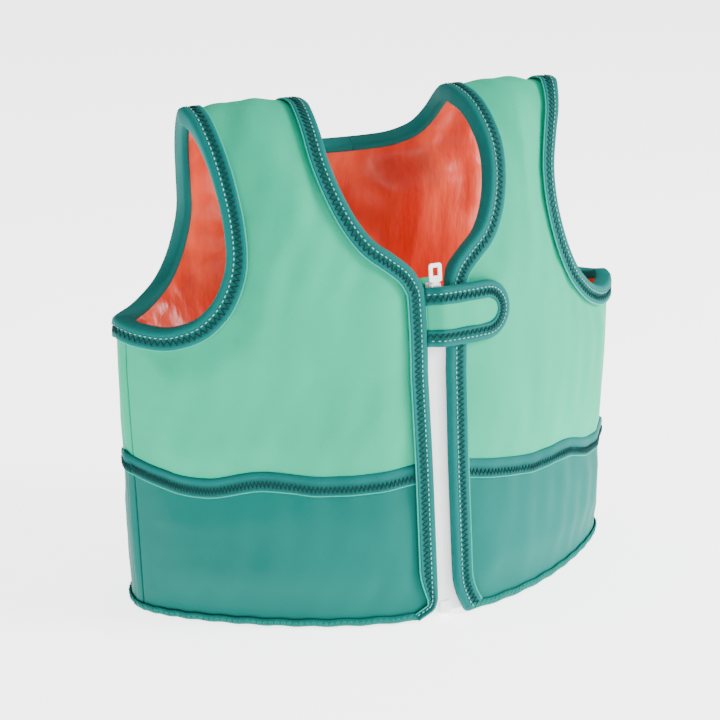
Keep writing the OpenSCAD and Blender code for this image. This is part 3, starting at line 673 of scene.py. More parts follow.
def folds(points, amount, seed):
    """Sum of four slanted sine waves, each bent by a slow wave up the body: creases."""
    x, z = points[..., 0] + points[..., 1] * 0.6, points[..., 2]
    draw = np.random.default_rng(seed).uniform(0, 1, (4, 4))
    total = x * 0
    for a, b, c, d in draw:
        slant = mix(-0.35, 0.35, a)
        bent = 0.35 * np.sin(2 * np.pi * (z / mix(90, 150, b) + c))
        total = total + np.sin(2 * np.pi * ((x + slant * z) / mix(20, 44, d) + a * 7) + bent * 3)
    return amount * total / 2


OUTER_CAP, INNER_CAP = 2.8, 4.5
CROWN, VALLEY, VALLEY_ROWS = 3.6, 2.2, 6.0
puffed = {}
for seed, half in enumerate(HALVES):
    side, back = half
    f, v = grids[half]
    foam, away = foam_depth(f, v)
    near = smooth(away / 22)
    outer, inner = lift(f, v, f * 0 - 0.4), lift(f, v, -DEPTH - foam)
    move_out, move_in = inflate(f"{side}_{'back' if back else 'front'}_pad", outer, inner,
                                OUTER_CAP, INNER_CAP)
    out_way = unit(outer - lift(f, v, f * 0 - 5))
    from_seam = np.abs(np.arange(len(f)) - WAVE_ROW)[:, None] / VALLEY_ROWS
    crown = CROWN * smooth((away - 9) / 24) - VALLEY * (1 - smooth(from_seam)) * smooth((away - 6) / 20)
    outer = outer + move_out + out_way * (crown + folds(outer, 0.5, 10 + seed) * near)[..., None]
    inner = inner + move_in + out_way * (folds(inner, 0.9, 20 + seed) * near)[..., None]
    puffed[half] = (outer, inner, out_way)

# %% [markdown]
# ## Shell, lower band and lining
# The puffed skin is cut at the colour seam into the mint shell above and the teal band
# below, each as thick as its neoprene, and the inner skin becomes the satin lining. Both
# halves of the back are joined at the centre. The front pieces only have their places
# baked into their points.

# %% Cut and make the panels
NEOPRENE, SATIN_THICK = 2.2, 1.0


def follow_front(piece):
    """Bakes the piece's place into its points; it is not blended with the back."""
    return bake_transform(piece)


def layer(outer, way, thick, rows, side, open_left=0):
    """One sheet: rows of the grid and the same rows moved in by its thickness."""
    top = outer[rows]
    points = np.vstack([top.reshape(-1, 3), (top - way[rows] * thick).reshape(-1, 3)])
    return mirror(points, side), sheet_faces(*top.shape[:2], open_left)


def satin_layer(inner, way, side, open_left=0):
    """The lining's inside is the skin's inner grid; its other face lies towards the foam."""
    points = np.vstack([(inner + way * SATIN_THICK).reshape(-1, 3), inner.reshape(-1, 3)])
    return mirror(points, side), sheet_faces(*inner.shape[:2], open_left)


for side in ("right", "left"):
    outer, inner, way = puffed[side, False]
    shell = layer(outer, way, NEOPRENE, slice(WAVE_ROW, None), side)
    band = layer(outer, way, NEOPRENE, slice(0, WAVE_ROW + 1), side)
    cover = make_piece(f"{side}_front_shell_cover", *shell, MINT, slot="mint_neoprene")
    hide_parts(f"{side}_front_shell", f"{side}_front_foam", f"{side}_strap_top")
    lower = make_piece(f"{side}_front_band_cover", *band, TEAL, slot="teal_neoprene")
    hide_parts(f"{side}_front_band")
    lining = make_piece(f"{side}_front_satin", *satin_layer(inner, way, side), SATIN, slot="lining")
    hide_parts(f"{side}_front_lining")
    for piece in (cover, lower, lining):
        follow_front(soften(piece))

halves = []
for side in ("right", "left"):
    outer, inner, way = puffed[side, True]
    halves.append((
        layer(outer, way, NEOPRENE, slice(WAVE_ROW, None), side, CHEST_ROWS),
        layer(outer, way, NEOPRENE, slice(0, WAVE_ROW + 1), side, LOW_ROWS),
        satin_layer(inner, way, side, MID_ROW)))


def joined(k):
    """Both halves' kth layer as one mesh; the right one's faces are turned by its mirror."""
    (rp, rq), (lp, lq) = halves[0][k], halves[1][k]
    return merged([(rp, rq[:, ::-1]), (lp, lq)])


back_cover = make_piece("back_shell_cover", *joined(0), MINT, slot="mint_neoprene")
back_lower = make_piece("back_band_cover", *joined(1), TEAL, slot="teal_neoprene")
back_satin = make_piece("back_satin", *joined(2), SATIN, slot="lining")
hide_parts("back_shell", "back_foam_right", "back_foam_left")
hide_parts("back_band")
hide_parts("back_lining")
for piece in (back_cover, back_lower, back_satin):
    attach(soften(piece), "back")
print("panels made")

# %% [markdown]
# ## Side strips
# Under each arm a flat strip without foam joins front and back, so the vest can fold
# there. It carries the same two colours, a satin inside, and a pressed pleat at the front
# seam. The strip crosses the side line; its place is baked into its points.

# %% Side strips
STRIP_COLUMNS, STRIP_ROWS = 14, 24
for side in ("right", "left"):
    f = np.linspace(SEAM_ANGLE + 0.15, 90, STRIP_COLUMNS + 1)[None, :]
    seam = level_at(WAVE_FRONT[side], f)
    top = mix(length_up(ARM_FRONT[side][0][1] * HEIGHT / DRAWN),
              length_up(ARM_BACK[side][0][1] * HEIGHT / DRAWN), (f - SEAM_ANGLE) / STRIP_SPAN)
    up = np.linspace(0, 1, STRIP_ROWS + 1)[:, None]
    across_strip = np.clip((f - SEAM_ANGLE) / STRIP_SPAN, 0, 1)
    bulge = -0.4 + 1.5 * np.sin(np.pi * across_strip) * np.sin(np.pi * up)
    for part, low, high, material, slot in (("upper", seam, top, MINT, "mint_neoprene"),
                                            ("lower", seam * 0 + HEM_V, seam, TEAL, "teal_neoprene")):
        v = mix(low, high, up)
        wide = f + v * 0
        points = np.vstack([lift(wide, v, bulge + v * 0).reshape(-1, 3),
                            lift(wide, v, bulge * 0 - 3.0 + v * 0).reshape(-1, 3)])
        strip = make_piece(f"{side}_side_{part}", mirror(points, side),
                           sheet_faces(*v.shape), material, slot=slot)
        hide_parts(f"{side}_side_strip")
        follow_front(soften(strip))
    v = mix(top * 0 + HEM_V, top, up)
    wide = f + v * 0
    crease = folds(torso(wide, v), 0.5, 31)
    points = np.vstack([lift(wide, v, -DEPTH + 0.6 + crease * 0).reshape(-1, 3),
                        lift(wide, v, -DEPTH - 0.4 + crease).reshape(-1, 3)])
    inside = make_piece(f"{side}_side_satin", mirror(points, side), sheet_faces(*v.shape), SATIN,
                        slot="lining")
    follow_front(soften(inside))

# %% [markdown]
# ## Bindings
# A folded strip wraps every raw edge, and a cover stitch holds it: a zigzag in dark
# thread, a row of pale stitches beside the rolled edge, and the free edge shows as a thin
# lighter cord. All four are carried along the panel's own edge points, spaced evenly.


# %% Paths and strips along an edge
def even(f, v, step, closed=False, also=()):
    """The same path with points a fixed step apart: lengths along it are summed, and angle,
    length up and the other values are read off at even lengths. The last point of a closed
    path is its first one again, so it is left out."""
    way = np.concatenate([[0], np.cumsum(np.linalg.norm(np.diff(torso(f, v), axis=0), axis=1))])
    count = max(4, int(round(way[-1] / step)))
    at = np.linspace(0, way[-1], count + 1)[:count if closed else None]
    return (np.interp(at, way, f), np.interp(at, way, v), at,
            *(np.interp(at, way, value + f * 0) for value in also))


def over_shoulder(f, v):
    """Back points in the front's numbers: the angle from the front, and the length up to
    the shoulder fold and on down the back."""
    return 180 - f, 2 * RIDGE - v


def across(f, v, way, b, o, closed=False):
    """Each path point moved b millimetres over the cloth, square to the path and inwards,
    then o millimetres out from it. The move is turned into angle and length with the two
    slopes: their dot product with the inward direction over their own square."""
    here = torso(f, v)
    if closed:
        ahead = np.roll(here, -1, 0) - np.roll(here, 1, 0)
    else:
        ahead = np.gradient(here, axis=0)
    round_way, up = slopes(f, v)
    inward = way * np.cross(unit(ahead), unit(np.cross(round_way, up)))
    df = (inward * round_way).sum(-1) / (round_way ** 2).sum(-1)
    dv = (inward * up).sum(-1) / (up ** 2).sum(-1)
    b = np.asarray(b, float)
    b = b[None, :] if b.ndim == 1 else b
    return lift(f[:, None] + b * df[:, None], v[:, None] + b * dv[:, None], o + b * 0)


BINDING_WIDE, NARROW, NARROW_LENGTH = 10.0, 3.6, 30.0


def binding_section(deep, tuck, wide):
    """Profile of the strip, from its free edge over the fold and round to the inside.
    deep and tuck may change along the path, so each column is an array of its own."""
    one = deep * 0 + 1
    fold = 1.7
    b = [wide, wide - 0.5, wide - 1.4, wide - 2.4, 5.6, 3.9, 2.9, 1.4, -0.2, -1.1, -fold, -fold,
         -fold, -1.3, -0.5]
    o = [0.35, 1.25, 1.45, 1.15, 1.05, 1.15, 1.6, 2.1, 1.9, 1.2, 0.0]
    bs = [one * x for x in b] + [tuck * 0.5, tuck * 0.9, tuck, tuck * 0.6, one * -0.2, one * -0.4,
                                 one * 0.5, one * wide]
    if np.ndim(wide):
        bs = [x * wide / BINDING_WIDE if i in (4, 5, 6, 7) else x for i, x in enumerate(bs)]
    os = [one * x for x in o] + [-deep * 0.5, -deep + 0.3, -deep - 0.6, -deep - 1.1, -deep - 1.2,
                                 -deep - 0.9, -deep - 0.2, -deep + 0.1, -deep + 0.4, one * -0.6,
                                 one * -0.2, one * -0.3]
    return np.stack(bs, -1), np.stack(os, -1)


def swell(b):
    """The puffed panel rises away from its held edge, by about a ninth of the distance."""
    return 0.11 * np.maximum(b, 0)


def strip_on(name, f, v, at, way, side, section, material, slot, closed=False, uv_wide=10.0):
    """A closed tube with that section at every path point, with UV across and along it."""
    b, o = section
    rings = across(f, v, way, b, o + swell(b) * (o > -1), closed)
    faces, caps = tube(*rings.shape[:2], closed)
    uv = np.stack([(b + 1.7) / (np.reshape(uv_wide, (-1, 1)) + 1.7) + rings[..., 0] * 0,
                   (at * MM)[:, None] + b * 0], -1)
    return make_piece(name, mirror(rings, side), faces, material, caps, uv, slot)


def thread_on(name, f, v, way, b, o, radius, side, material, closed=False):
    """A thin tube along the points (b, o) over the path."""
    line = across(f, v, way, b[:, None], (o + swell(b))[:, None], closed)[:, 0]
    rings = thread_rings(line, unit(np.cross(*slopes(f, v))), radius, closed)
    faces, caps = tube(*rings.shape[:2], closed)
    return make_piece(name, mirror(rings, side), faces, material, caps, slot="binding")


def stitches_on(name, f, v, at, way, b, o, side, material, pitch=3.0, length=1.9, radius=0.36):
    """Separate stitches: each an eight-sided bead pulled long, its six points at the two
    ends and four round the middle."""
    count = int(at[-1] / pitch)
    where = (np.arange(count) + 0.5) * pitch
    fs, vs = np.interp(where, at, f), np.interp(where, at, v)
    over = np.interp(where, at, o + at * 0)[:, None] + swell(np.full((count, 1), b))
    middle = across(fs, vs, way, np.full((count, 1), b), over)[:, 0]
    ahead = unit(np.gradient(middle, axis=0))
    round_way, up = slopes(fs, vs)
    out = unit(np.cross(round_way, up))
    beside = np.cross(ahead, out)
    ring = [middle + out * radius, middle + beside * radius, middle - out * radius,
            middle - beside * radius]
    tips = [middle - ahead * length / 2, middle + ahead * length / 2]
    body = [p + q * length * 0.3 * ahead for q in (-1, 1) for p in ring]
    points = np.stack([tips[0], *body, tips[1]], 1)
    base = (np.arange(count) * 10)[:, None]
    quads = np.array([[1 + i, 1 + (i + 1) % 4, 5 + (i + 1) % 4, 5 + i] for i in range(4)])
    ends = np.array([[0, 1 + (i + 1) % 4, 1 + i] for i in range(4)]
                    + [[9, 5 + i, 5 + (i + 1) % 4] for i in range(4)])
    sides_ = (quads[None] + base[:, :, None]).reshape(-1, 4)
    tris = (ends[None] + base[:, :, None]).reshape(-1, 3)
    return make_piece(name, mirror(points, side), sides_, material, tris.tolist(), slot="binding")


ZIG_PITCH, ZIG_MIDDLE, ZIG_REACH = 3.2, 5.9, 2.0
ZIG_OUT, ZIG_RADIUS = 1.3, 0.33
STITCH_IN, STITCH_OUT = 2.9, 1.95
CORD_OUT, CORD_RADIUS = 0.75, 0.55
SHELL_DEEP, ALL_DEEP, SHELL_TUCK, ALL_TUCK = 2.5, 7.2, 0.8, 4.0
WRAP_FROM, WRAP_OVER = 196.0, 16.0


def zigzag(at):
    """A triangle wave across the strip as the length along it grows."""
    return ZIG_MIDDLE + ZIG_REACH * (2 / np.pi) * np.arcsin(np.sin(2 * np.pi * at / ZIG_PITCH) * 0.98)


def bound_edge(name, f, v, way, side, deep, tuck, wide, closed=False, nodes=()):
    """The binding, its zigzag, its pale stitches and its free edge, along one path."""
    fe, ve, at, deep, tuck, broad = even(f, v, 2.4, closed, (deep, tuck, wide))
    strip = strip_on(f"{name}_binding", fe, ve, at, way, side, binding_section(deep, tuck, broad),
                     BINDING, "binding", closed, broad)
    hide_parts(*nodes)
    fz, vz, az, broad_z = even(f, v, ZIG_PITCH / 4, closed, (wide,))
    zig = thread_on(f"{name}_zigzag", fz, vz, way, zigzag(az) * broad_z / BINDING_WIDE, ZIG_OUT,
                    ZIG_RADIUS, side, DARK_THREAD, closed)
    dash = stitches_on(f"{name}_pale_stitches", fe, ve, at, way, STITCH_IN, STITCH_OUT, side,
                       PALE_THREAD)
    cord = thread_on(f"{name}_edge_cord", fe, ve, way, broad + 0.1, CORD_OUT, CORD_RADIUS, side,
                     EDGE_CORD, closed)
    return [strip, zig, dash, cord]


# %% [markdown]
# The front binding climbs from the hem beside the zip, turns into the neck, goes over the
# shoulder and ends at the centre back. Beside the zip it covers only the neoprene, since
# the zip tape comes out under it; round the neck it wraps shell and lining together.

# %% Front, neck and armhole bindings
for side in ("right", "left"):
    f_front, v_front = grids[side, False]
    f_back, v_back = grids[side, True]
    up_f, up_v = f_front[:, 0], v_front[:, 0]
    down_f, down_v = over_shoulder(f_back[MID_ROW:-1, 0][::-1], v_back[MID_ROW:-1, 0][::-1])
    f, v = np.concatenate([up_f, down_f]), np.concatenate([up_v, down_v])
    wraps = smooth((torso(up_f, up_v)[:, 2] - WRAP_FROM) / WRAP_OVER)
    wraps = np.concatenate([wraps, np.ones(len(down_f))])
    wide = BINDING_WIDE + f * 0
    if side == "right":
        wide = mix(NARROW, BINDING_WIDE, smooth((v - HEM_V) / NARROW_LENGTH))
    for piece in bound_edge(f"{side}_edge", f, v, 1, side, mix(SHELL_DEEP, ALL_DEEP, wraps),
                            mix(SHELL_TUCK, ALL_TUCK, wraps), wide,
                            nodes=(f"{side}_front_binding", "back_neck_binding")):
        follow_front(piece)
    under = np.linspace(90, SEAM_ANGLE, 8)[:-1]
    under_v = mix(v_back[MID_ROW, -1], v_front[MID_ROW, -1], (90 - under) / STRIP_SPAN)
    down_f, down_v = over_shoulder(f_back[MID_ROW:-1, -1][::-1], v_back[MID_ROW:-1, -1][::-1])
    f = np.concatenate([under, f_front[MID_ROW:, -1], down_f])
    v = np.concatenate([under_v, v_front[MID_ROW:, -1], down_v])
    covered = (f"{side}_front_armhole_binding", f"back_armhole_binding_{side}")
    for piece in bound_edge(f"{side}_armhole", f, v, -1, side, ALL_DEEP, ALL_TUCK, BINDING_WIDE,
                            closed=True, nodes=covered):
        follow_front(piece)
print("bindings made")

# %% [markdown]
# ## Colour seam tape and hem
# A flat tape covers the seam between mint and teal. It waves a little, lies proud of the
# cloth and has a zigzag in its lower half and a fine light lower edge. The hem is a narrow
# rolled edge with an overlock stitch.

# %% Seam tape


def on_panel(half, column_s, e, o):
    """A point e millimetres above the colour seam: the row there is the seam's row plus e
    over the rows' spacing, and the place is a straight mix of the puffed rows about it."""
    outer, _, way = puffed[half]
    spacing = np.linalg.norm(outer[WAVE_ROW + 1] - outer[WAVE_ROW - 1], axis=-1) / 2
    column = column_s * COLUMNS
    j = np.clip(np.floor(column).astype(int), 0, COLUMNS - 1)
    t = column - j
    row = WAVE_ROW + e / mix(spacing[j], spacing[j + 1], t)
    i = np.floor(row).astype(int)
    q = (row - i)[..., None]
    t = t[..., None]

    def read(grid):
        return mix(mix(grid[i, j], grid[i, j + 1], t), mix(grid[i + 1, j], grid[i + 1, j + 1], t), q)
    return read(outer) + read(way) * np.asarray(o, float)[..., None]


TAPE_E = np.array([5.75, 5.5, 4.4, 2.6, 0.0, -2.6, -4.4, -5.5, -5.75, -5.4, 0.0, 5.4])
TAPE_O = np.array([0.0, 0.5, 1.1, 1.35, 1.1, 1.05, 1.3, 1.3, 0.6, -0.2, -0.2, -0.2])
STITCHED, TAPE_START, STRIP_SHARE = -2.4, 0.037, 16


def seam_points(side, e, o, along):
    """Side strip part of the seam: at a given angle, e above the seam, o out."""
    f = mix(SEAM_ANGLE, 90, along)
    v = level_at(WAVE_FRONT[side], f) + e
    return lift(f, v, o + 0.4 + 0.9 * np.sin(np.pi * along))


def tape_rings(side, back, e, o, count, strip_count=10):
    """Rings (or a line, if e has one column) over the half and its side strip."""
    s = np.linspace(0.0 if back else TAPE_START, 1, count)[:, None] + e[:count] * 0
    rings = on_panel((side, back), s, e[:count], o[:count])
    if back:
        return rings
    along = np.linspace(0, 1, strip_count + 1)[1:, None] + e[count:] * 0
    return np.concatenate([rings, seam_points(side, e[count:], o[count:], along)])


def tape_pieces(name, lines, node):
    """Tape, zigzag and edge cord. lines gives points from e above the seam and o out of the
    cloth, at a count of places. The zigzag's e is a triangle wave over every four."""
    count = 60
    e = np.broadcast_to(TAPE_E, (lines.total(count), len(TAPE_E)))
    o = np.broadcast_to(TAPE_O, e.shape)
    rings = lines(e, o, count)
    n, k = rings.shape[:2]
    uv = np.stack([np.broadcast_to(0.57 - (TAPE_E - STITCHED) / 15, (n, k)),
                   np.broadcast_to(np.arange(n)[:, None] * 0.004, (n, k))], -1)
    faces, caps = tube(n, k)
    made = [make_piece(f"{name}_cover", rings, faces, BINDING, caps, uv, "binding")]
    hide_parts(node)
    for label, height_e, height_o, radius, material, wave, fine in (
            ("zigzag", STITCHED, ZIG_OUT, ZIG_RADIUS, DARK_THREAD, 1.9, 340),
            ("edge_cord", -5.9, 0.75, 0.5, EDGE_CORD, 0.0, 120)):
        i = np.arange(lines.total(fine))[:, None]
        e = height_e + wave * (1 - 4 * np.abs((i % 4) / 4 - 0.5)) if wave else height_e + i * 0.0
        centre = lines(e, height_o + e * 0, fine)[:, 0]
        out = unit(lines(e, height_o + 1 + e * 0, fine)[:, 0] - centre)
        rings = thread_rings(centre, out, radius)
        faces, caps = tube(*rings.shape[:2])
        made.append(make_piece(f"{name}_{label}", rings, faces, material, caps, None, "binding"))
    return made


class FrontSeam:
    """The seam over one front half and its side strip."""

    def __init__(self, side):
        self.side = side

    def total(self, count):
        return count + count // STRIP_SHARE

    def __call__(self, e, o, count):
        return mirror(tape_rings(self.side, False, e, o, count, count // STRIP_SHARE), self.side)


class BackSeam:
    """The seam over both back halves, from the wearer's right to the left."""

    def total(self, count):
        return 2 * count - 1

    def __call__(self, e, o, count):
        right = mirror(tape_rings("right", True, e[:count][::-1], o[:count][::-1], count), "right")
        left = tape_rings("left", True, e[count - 1:], o[count - 1:], count)
        return np.concatenate([right[::-1], left[1:]])


for side in ("right", "left"):
    for piece in tape_pieces(f"{side}_seam_tape", FrontSeam(side), f"{side}_wave_tape"):
        follow_front(piece)
for piece in tape_pieces("back_seam_tape", BackSeam(), "back_wave_tape"):
    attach(piece, "back")

# %% Hem
HEM_SECTION_B = np.array([3.6, 3.2, 1.6, 0.2, -1.0, -1.3, -1.3, -1.0, 0.2, 1.8, 2.6, 2.4, 0.6,
                          -0.2, -0.2, 0.6])
HEM_SECTION_O = np.array([0.1, 0.7, 1.0, 0.9, 0.3, -1.0, -5.0, -6.4, -7.1, -7.2, -6.8, -6.3,
                          -6.1, -5.6, -0.5, -0.2])
HEM_WAVE, HEM_WIDE = 0.35, 3.6


def hem_on(name, f, side, nodes):
    """A narrow roll along the hem, with an overlock zigzag round its outer face."""
    v = HEM_V + 0.3 + HEM_WAVE * np.sin(f * 0.9)
    fe, ve, at = even(f, v, 3.0)
    b = np.broadcast_to(HEM_SECTION_B, (len(fe), len(HEM_SECTION_B)))
    o = np.broadcast_to(HEM_SECTION_O, b.shape)
    roll = strip_on(f"{name}_roll", fe, ve, at, 1, side, (b, o), TEAL, "binding", uv_wide=HEM_WIDE)
    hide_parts(*nodes)
    fz, vz, _ = even(f, v, 0.9)
    i = np.arange(len(fz))
    b = 1.4 + 1.5 * (1 - 4 * np.abs((i % 4) / 4 - 0.5))
    lock = thread_on(f"{name}_overlock", fz, vz, 1, b, 1.0, 0.25, side, HEM_THREAD)
    return [roll, lock]


for side in ("right", "left"):
    start = angle_at(inner_x(side, False, np.float64(HEM_V)), 0)
    for piece in hem_on(f"{side}_front_hem", np.linspace(90, start, 60), side, [f"{side}_front_hem"]):
        follow_front(piece)
for piece in hem_on("back_hem", np.linspace(270, 90, 110), "left", ["back_hem"]):
    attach(piece, "back")

# %% [markdown]
# ## Zip
# The tape is a white woven ribbon on each side, and the right one laps a little over the
# left. The coil sits behind, a row of small loops. The slider and the pull are the packed
# parts, which only get their plastic finish.

# %% Zip tapes and coils
ZIP_TOP, ZIP_LOW, ZIP_DEPTH = 196.0, 3.0, 3.3
COIL_RADIUS, COIL_TURNS = 0.28, 120
for side in ("right", "left"):
    v = np.linspace(ZIP_LOW, length_up(ZIP_TOP), 70)
    x = np.array([-0.3, 0.2, 0.9, 2.4, 5.0, 9.0, 13.5])
    rise = np.array([0.1, 0.1, 0.08, 0.0, 0.0, 0.0, 0.0])
    if side == "left":
        x = x - np.array([0.6, 0.5, 0.2, 0, 0, 0, 0])
        rise = rise - np.array([1.2, 1.2, 0.6, 0, 0, 0, 0])
    f = angle_at(x[None, :], v[:, None])
    front = lift(f, v[:, None] + f * 0, -ZIP_DEPTH + 0.4 + rise[None, :] + f * 0)
    behind = lift(f, v[:, None] + f * 0, -ZIP_DEPTH - 0.4 + f * 0)
    points = np.vstack([front.reshape(-1, 3), behind.reshape(-1, 3)])
    tape = make_piece(f"{side}_zip_tape_cloth", mirror(points, side), sheet_faces(*f.shape), ZIP_TAPE,
                      slot="zip_tape")
    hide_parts(f"{side}_zip_tape")
    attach(soften(tape), f"{side}_front")
    t = np.linspace(0, 1, COIL_TURNS * 8)
    v = mix(8.0, length_up(ZIP_TOP - 3), t)
    wave = 2 * np.pi * COIL_TURNS * t + (0 if side == "right" else np.pi)
    x = 2.35 + 0.6 * np.cos(wave)
    centre = lift(angle_at(x, v), v, -ZIP_DEPTH - 0.5 + 0.35 * np.sin(wave))
    out = unit(np.cross(unit(np.gradient(centre, axis=0)), [0.0, 0.0, 1.0]))
    rings = thread_rings(centre, out, COIL_RADIUS)
    faces, caps = tube(*rings.shape[:2])
    coil = make_piece(f"{side}_zip_coil_loops", mirror(rings, side), faces, ZIP_PLASTIC, caps,
                      slot="zip_plastic")
    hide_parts(f"{side}_zip_coil")
    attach(coil, f"{side}_front")

# %% [markdown]
# A soft flap of the shell's neoprene lies behind the zip, so that the coil doesn't rub.
# Its rounded top stands a little above the slider.

# %% Zip guard
GUARD_TOP = 206.0
v = np.linspace(4, length_up(GUARD_TOP), 60)[:, None]
x = np.linspace(-6.5, 12.5, 14)[None, :]
near_top = smooth((v - v[-3]) / (v[-1] - v[-3]))
v_round = v - near_top * 2.5 * (np.abs(x - 1) / 9) ** 3
f = angle_at(np.abs(x), v_round) * np.sign(x)
puff = 0.9 * (1 - ((x - 3) / 9.5) ** 2) + f * 0
points = np.vstack([lift(-f, v_round, -6.9 + puff * 0.5).reshape(-1, 3),
                    lift(-f, v_round, -8.9 - puff * 0.4).reshape(-1, 3)])
guard = make_piece("zip_guard_flap", points, sheet_faces(*f.shape), MINT, slot="mint_neoprene")
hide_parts("zip_guard")
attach(soften(guard), "right_front")

# %% [markdown]
# ## Closing tab
# The tab is a D-shaped flap, sewn to the wearer's right front and pressed down on the
# left with hook and loop. It is slightly puffed, dips between its stitches and is bound
# with the same strip as the edges. It bends at its root, and its place is baked into its points.

# %% Tab
TAB_REACH, TAB_HEIGHT, TAB_TOP = 48.0, 33.0, 199.5
TAB_END, TAB_ROOT = TAB_HEIGHT / 2, -7.2
TAB_LOW_V, TAB_TOP_V = length_up(TAB_TOP - TAB_HEIGHT), length_up(TAB_TOP)


def tab_level(rise):
    """Length up the cloth for a height measured from the tab's middle."""
    return (TAB_TOP_V + TAB_LOW_V) / 2 + rise * (TAB_TOP_V - TAB_LOW_V) / TAB_HEIGHT


def tab_rise(x):
    """Height of the tab's underside over the cloth: up from under the right binding, over
    the zip and the left binding, and gently down to the tip."""
    return -1.6 + 4.6 * smooth((x + 7) / 9) - 0.9 * smooth((x - 18) / 30)


def tab_half(x, inset=0.0):
    """Half the tab's height: full, then a half circle to the tip."""
    past = np.clip(x - (TAB_REACH - TAB_END), 0, TAB_END)
    return np.sqrt(np.maximum((TAB_END - inset) ** 2 - past ** 2, 0.0))


s = np.linspace(0, 1, 40)
x = TAB_ROOT + (TAB_REACH - 1.2 - TAB_ROOT) * np.sin(s * np.pi / 2) ** 0.9
x = x[None, :]
w = np.linspace(-1, 1, 21)[:, None]
half_height = tab_half(np.clip(x, None, TAB_REACH - 2.0), 1.0)
v = tab_level(w * half_height)
f = angle_at(np.abs(x), v) * np.sign(x)
plump = 1.1 * np.sqrt(np.clip(1 - w ** 4, 0, 1)) + 0.25 * np.sin(x * 0.35 + w * 2)
points = np.vstack([lift(f, v, tab_rise(x) + 1.7 + plump).reshape(-1, 3),
                    lift(f, v, tab_rise(x) + f * 0).reshape(-1, 3)])
tab = make_piece("tab_flap", points, sheet_faces(*f.shape), MINT, slot="mint_neoprene")
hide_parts("tab_panel")
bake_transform(soften(tab))

straight = TAB_REACH - TAB_END
around = np.radians(np.linspace(90, -90, 40))
path_x = np.concatenate([np.linspace(TAB_ROOT, straight, 24)[:-1], straight + TAB_END * np.cos(around),
                         np.linspace(straight, TAB_ROOT, 24)[1:]])
path_v = tab_level(np.concatenate([np.full(23, TAB_END), TAB_END * np.sin(around),
                                   np.full(23, -TAB_END)]))
path_f = angle_at(np.abs(path_x), path_v) * np.sign(path_x)

fe, ve, at = even(path_f, path_v, 1.6)
rise = tab_rise(torso(fe, ve)[:, 0])
TAB_B = np.array([9.5, 9.1, 8.2, 7.2, 5.6, 3.9, 2.9, 1.4, 0.1, -0.6, -0.9, -0.9, -0.5, 0.6,
                  3.0, 5.0, 4.8, 0.6, -0.3, 0.6])
TAB_O = np.array([2.6, 3.5, 3.7, 3.5, 3.4, 3.5, 3.8, 3.9, 3.4, 2.6, 1.4, 0.6, 0.0, -0.3,
                  -0.4, -0.3, 0.1, 0.3, 1.2, 2.3])
b = np.broadcast_to(TAB_B, (len(fe), len(TAB_B)))
rings = across(fe, ve, 1, b, TAB_O[None] + rise[:, None])
uv = np.stack([(b + 1.7) / 11.7, (at * MM)[:, None] + b * 0], -1)
faces, caps = tube(*rings.shape[:2])
tab_bind = make_piece("tab_binding_strip", rings, faces, BINDING, caps, uv, "binding")
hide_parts("tab_binding")
fz, vz, az = even(path_f, path_v, ZIG_PITCH / 4)
over = tab_rise(torso(fz, vz)[:, 0]) + 3.75
zig_b = zigzag(az)
line_o = over - swell(zig_b)
tab_zig = thread_on("tab_zigzag", fz, vz, 1, zig_b, line_o, 0.36, "left", DARK_THREAD)
tab_pale = stitches_on("tab_pale_stitches", fe, ve, at, 1, 3.1, rise + 3.5, "left", PALE_THREAD)
for piece in (tab_bind, tab_zig, tab_pale):
    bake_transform(piece)

# %% [markdown]
# The hook patch under the tab and the loop patch on the left front are napped. Their
# surface is a dense field of tiny bumps, so each is a fine grid raised by noise.


# %% Hook and loop patches, and the tab's sewn root
def nap_patch(name, x0, x1, tall, o, thick, seed, node, body):
    """A rounded patch: grid heights are o plus the thickness plus an even random fuzz."""
    x = np.linspace(x0, x1, 60)[None, :]
    w = np.linspace(-1, 1, 46)[:, None]
    round_off = 1 - 0.12 * np.abs(2 * (x - x0) / (x1 - x0) - 1) ** 8
    v = tab_level(w * tall / 2 * round_off)
    f = angle_at(x, v)
    fuzz = np.random.default_rng(seed).uniform(0, 0.35, f.shape)
    points = np.vstack([lift(f, v, o(x) + thick + fuzz).reshape(-1, 3),
                        lift(f, v, o(x) + f * 0).reshape(-1, 3)])
    patch = make_piece(name, points, sheet_faces(*f.shape), NAP, slot="hook_and_loop")
    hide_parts(node)
    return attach(patch, body)


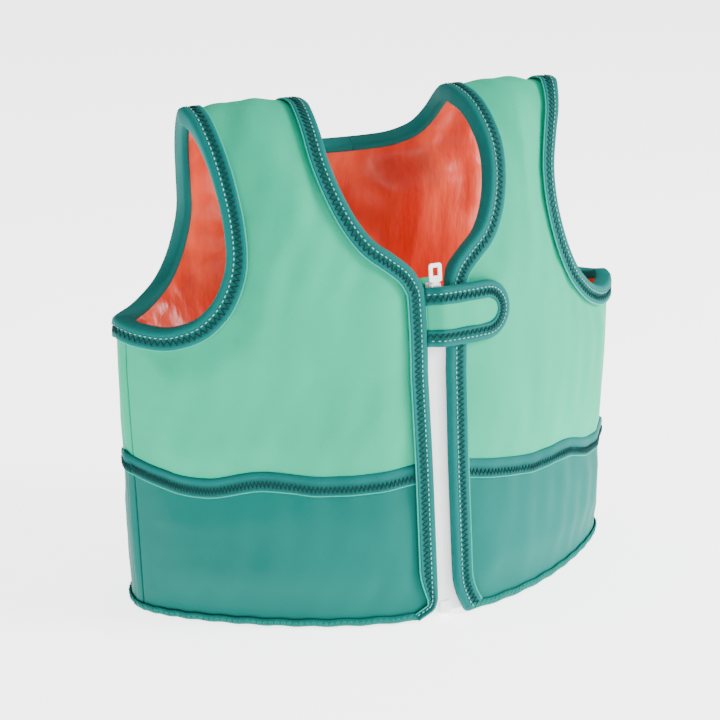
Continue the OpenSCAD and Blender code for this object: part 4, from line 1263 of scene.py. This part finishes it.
nap_patch("tab_hook_face", 19.5, 39.5, 20.0, lambda x: tab_rise(x) - 0.75, 0.3, 5,
          "tab_hook_patch", "tab")
nap_patch("loop_face", 19.0, 41.5, 22.0, lambda x: 0.9 + x * 0, 0.5, 6, "tab_loop_patch", "left_front")
x = np.linspace(-13.0, TAB_ROOT + 0.8, 8)[None, :]
v = tab_level(np.linspace(-1, 1, 16)[:, None] * (TAB_END - 2))
f = angle_at(np.abs(x), v) * np.sign(x)
points = np.vstack([lift(f, v, 0.9 + f * 0).reshape(-1, 3), lift(f, v, -1.4 + f * 0).reshape(-1, 3)])
root = make_piece("tab_sewn_root", points, sheet_faces(*f.shape), MINT, slot="mint_neoprene")
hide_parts("tab_anchor")
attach(soften(root), "right_front")

# %% [markdown]
# ## Floor and light
# A plain white floor that glows a little, and soft studio light: one broad lamp on the
# wearer's left front, a weaker one on the right, one above, and an even world around.

# %% Studio
floor_mesh = bpy.data.meshes.new("floor")
floor_mesh.from_pydata([(-6, -6, 0), (6, -6, 0), (6, 6, 0), (-6, 6, 0)], [], [(0, 1, 2, 3)])
floor = bpy.data.objects.new("floor", floor_mesh)
bpy.context.collection.objects.link(floor)
paper = Finish("paper_floor", 0.9)
paper.colour(paper.ramp(paper.noise(3, 2).outputs["Fac"],
                        [(0.3, (0.93, 0.93, 0.93, 1)), (0.7, (0.97, 0.97, 0.97, 1))]).outputs["Color"])
paper.set(paper.shader, Emission_Color=(1, 1, 1, 1), Emission_Strength=3.2)
floor_mesh.materials.append(paper.material)

world = bpy.data.worlds.new("studio")
scene.world = world
world.use_nodes = True
world.node_tree.nodes["Background"].inputs["Color"].default_value = (1, 1, 1, 1)
world.node_tree.nodes["Background"].inputs["Strength"].default_value = 0.5


def lamp(name, place, size, power):
    """A square area lamp at a place, turned to the middle of the vest."""
    light = bpy.data.lights.new(name, "AREA")
    light.size, light.energy = size, power
    made = bpy.data.objects.new(name, light)
    made.location = place
    made.rotation_mode = "QUATERNION"
    made.rotation_quaternion = (Vector((0, 0, height / 2)) - Vector(place)).to_track_quat("-Z", "Y")
    bpy.context.collection.objects.link(made)


lamp("key", (1.7, -1.1, 1.1), 0.8, 85)
lamp("fill", (-1.6, -0.9, 0.7), 1.4, 3)
lamp("top", (0.0, 0.3, 1.7), 1.2, 14)
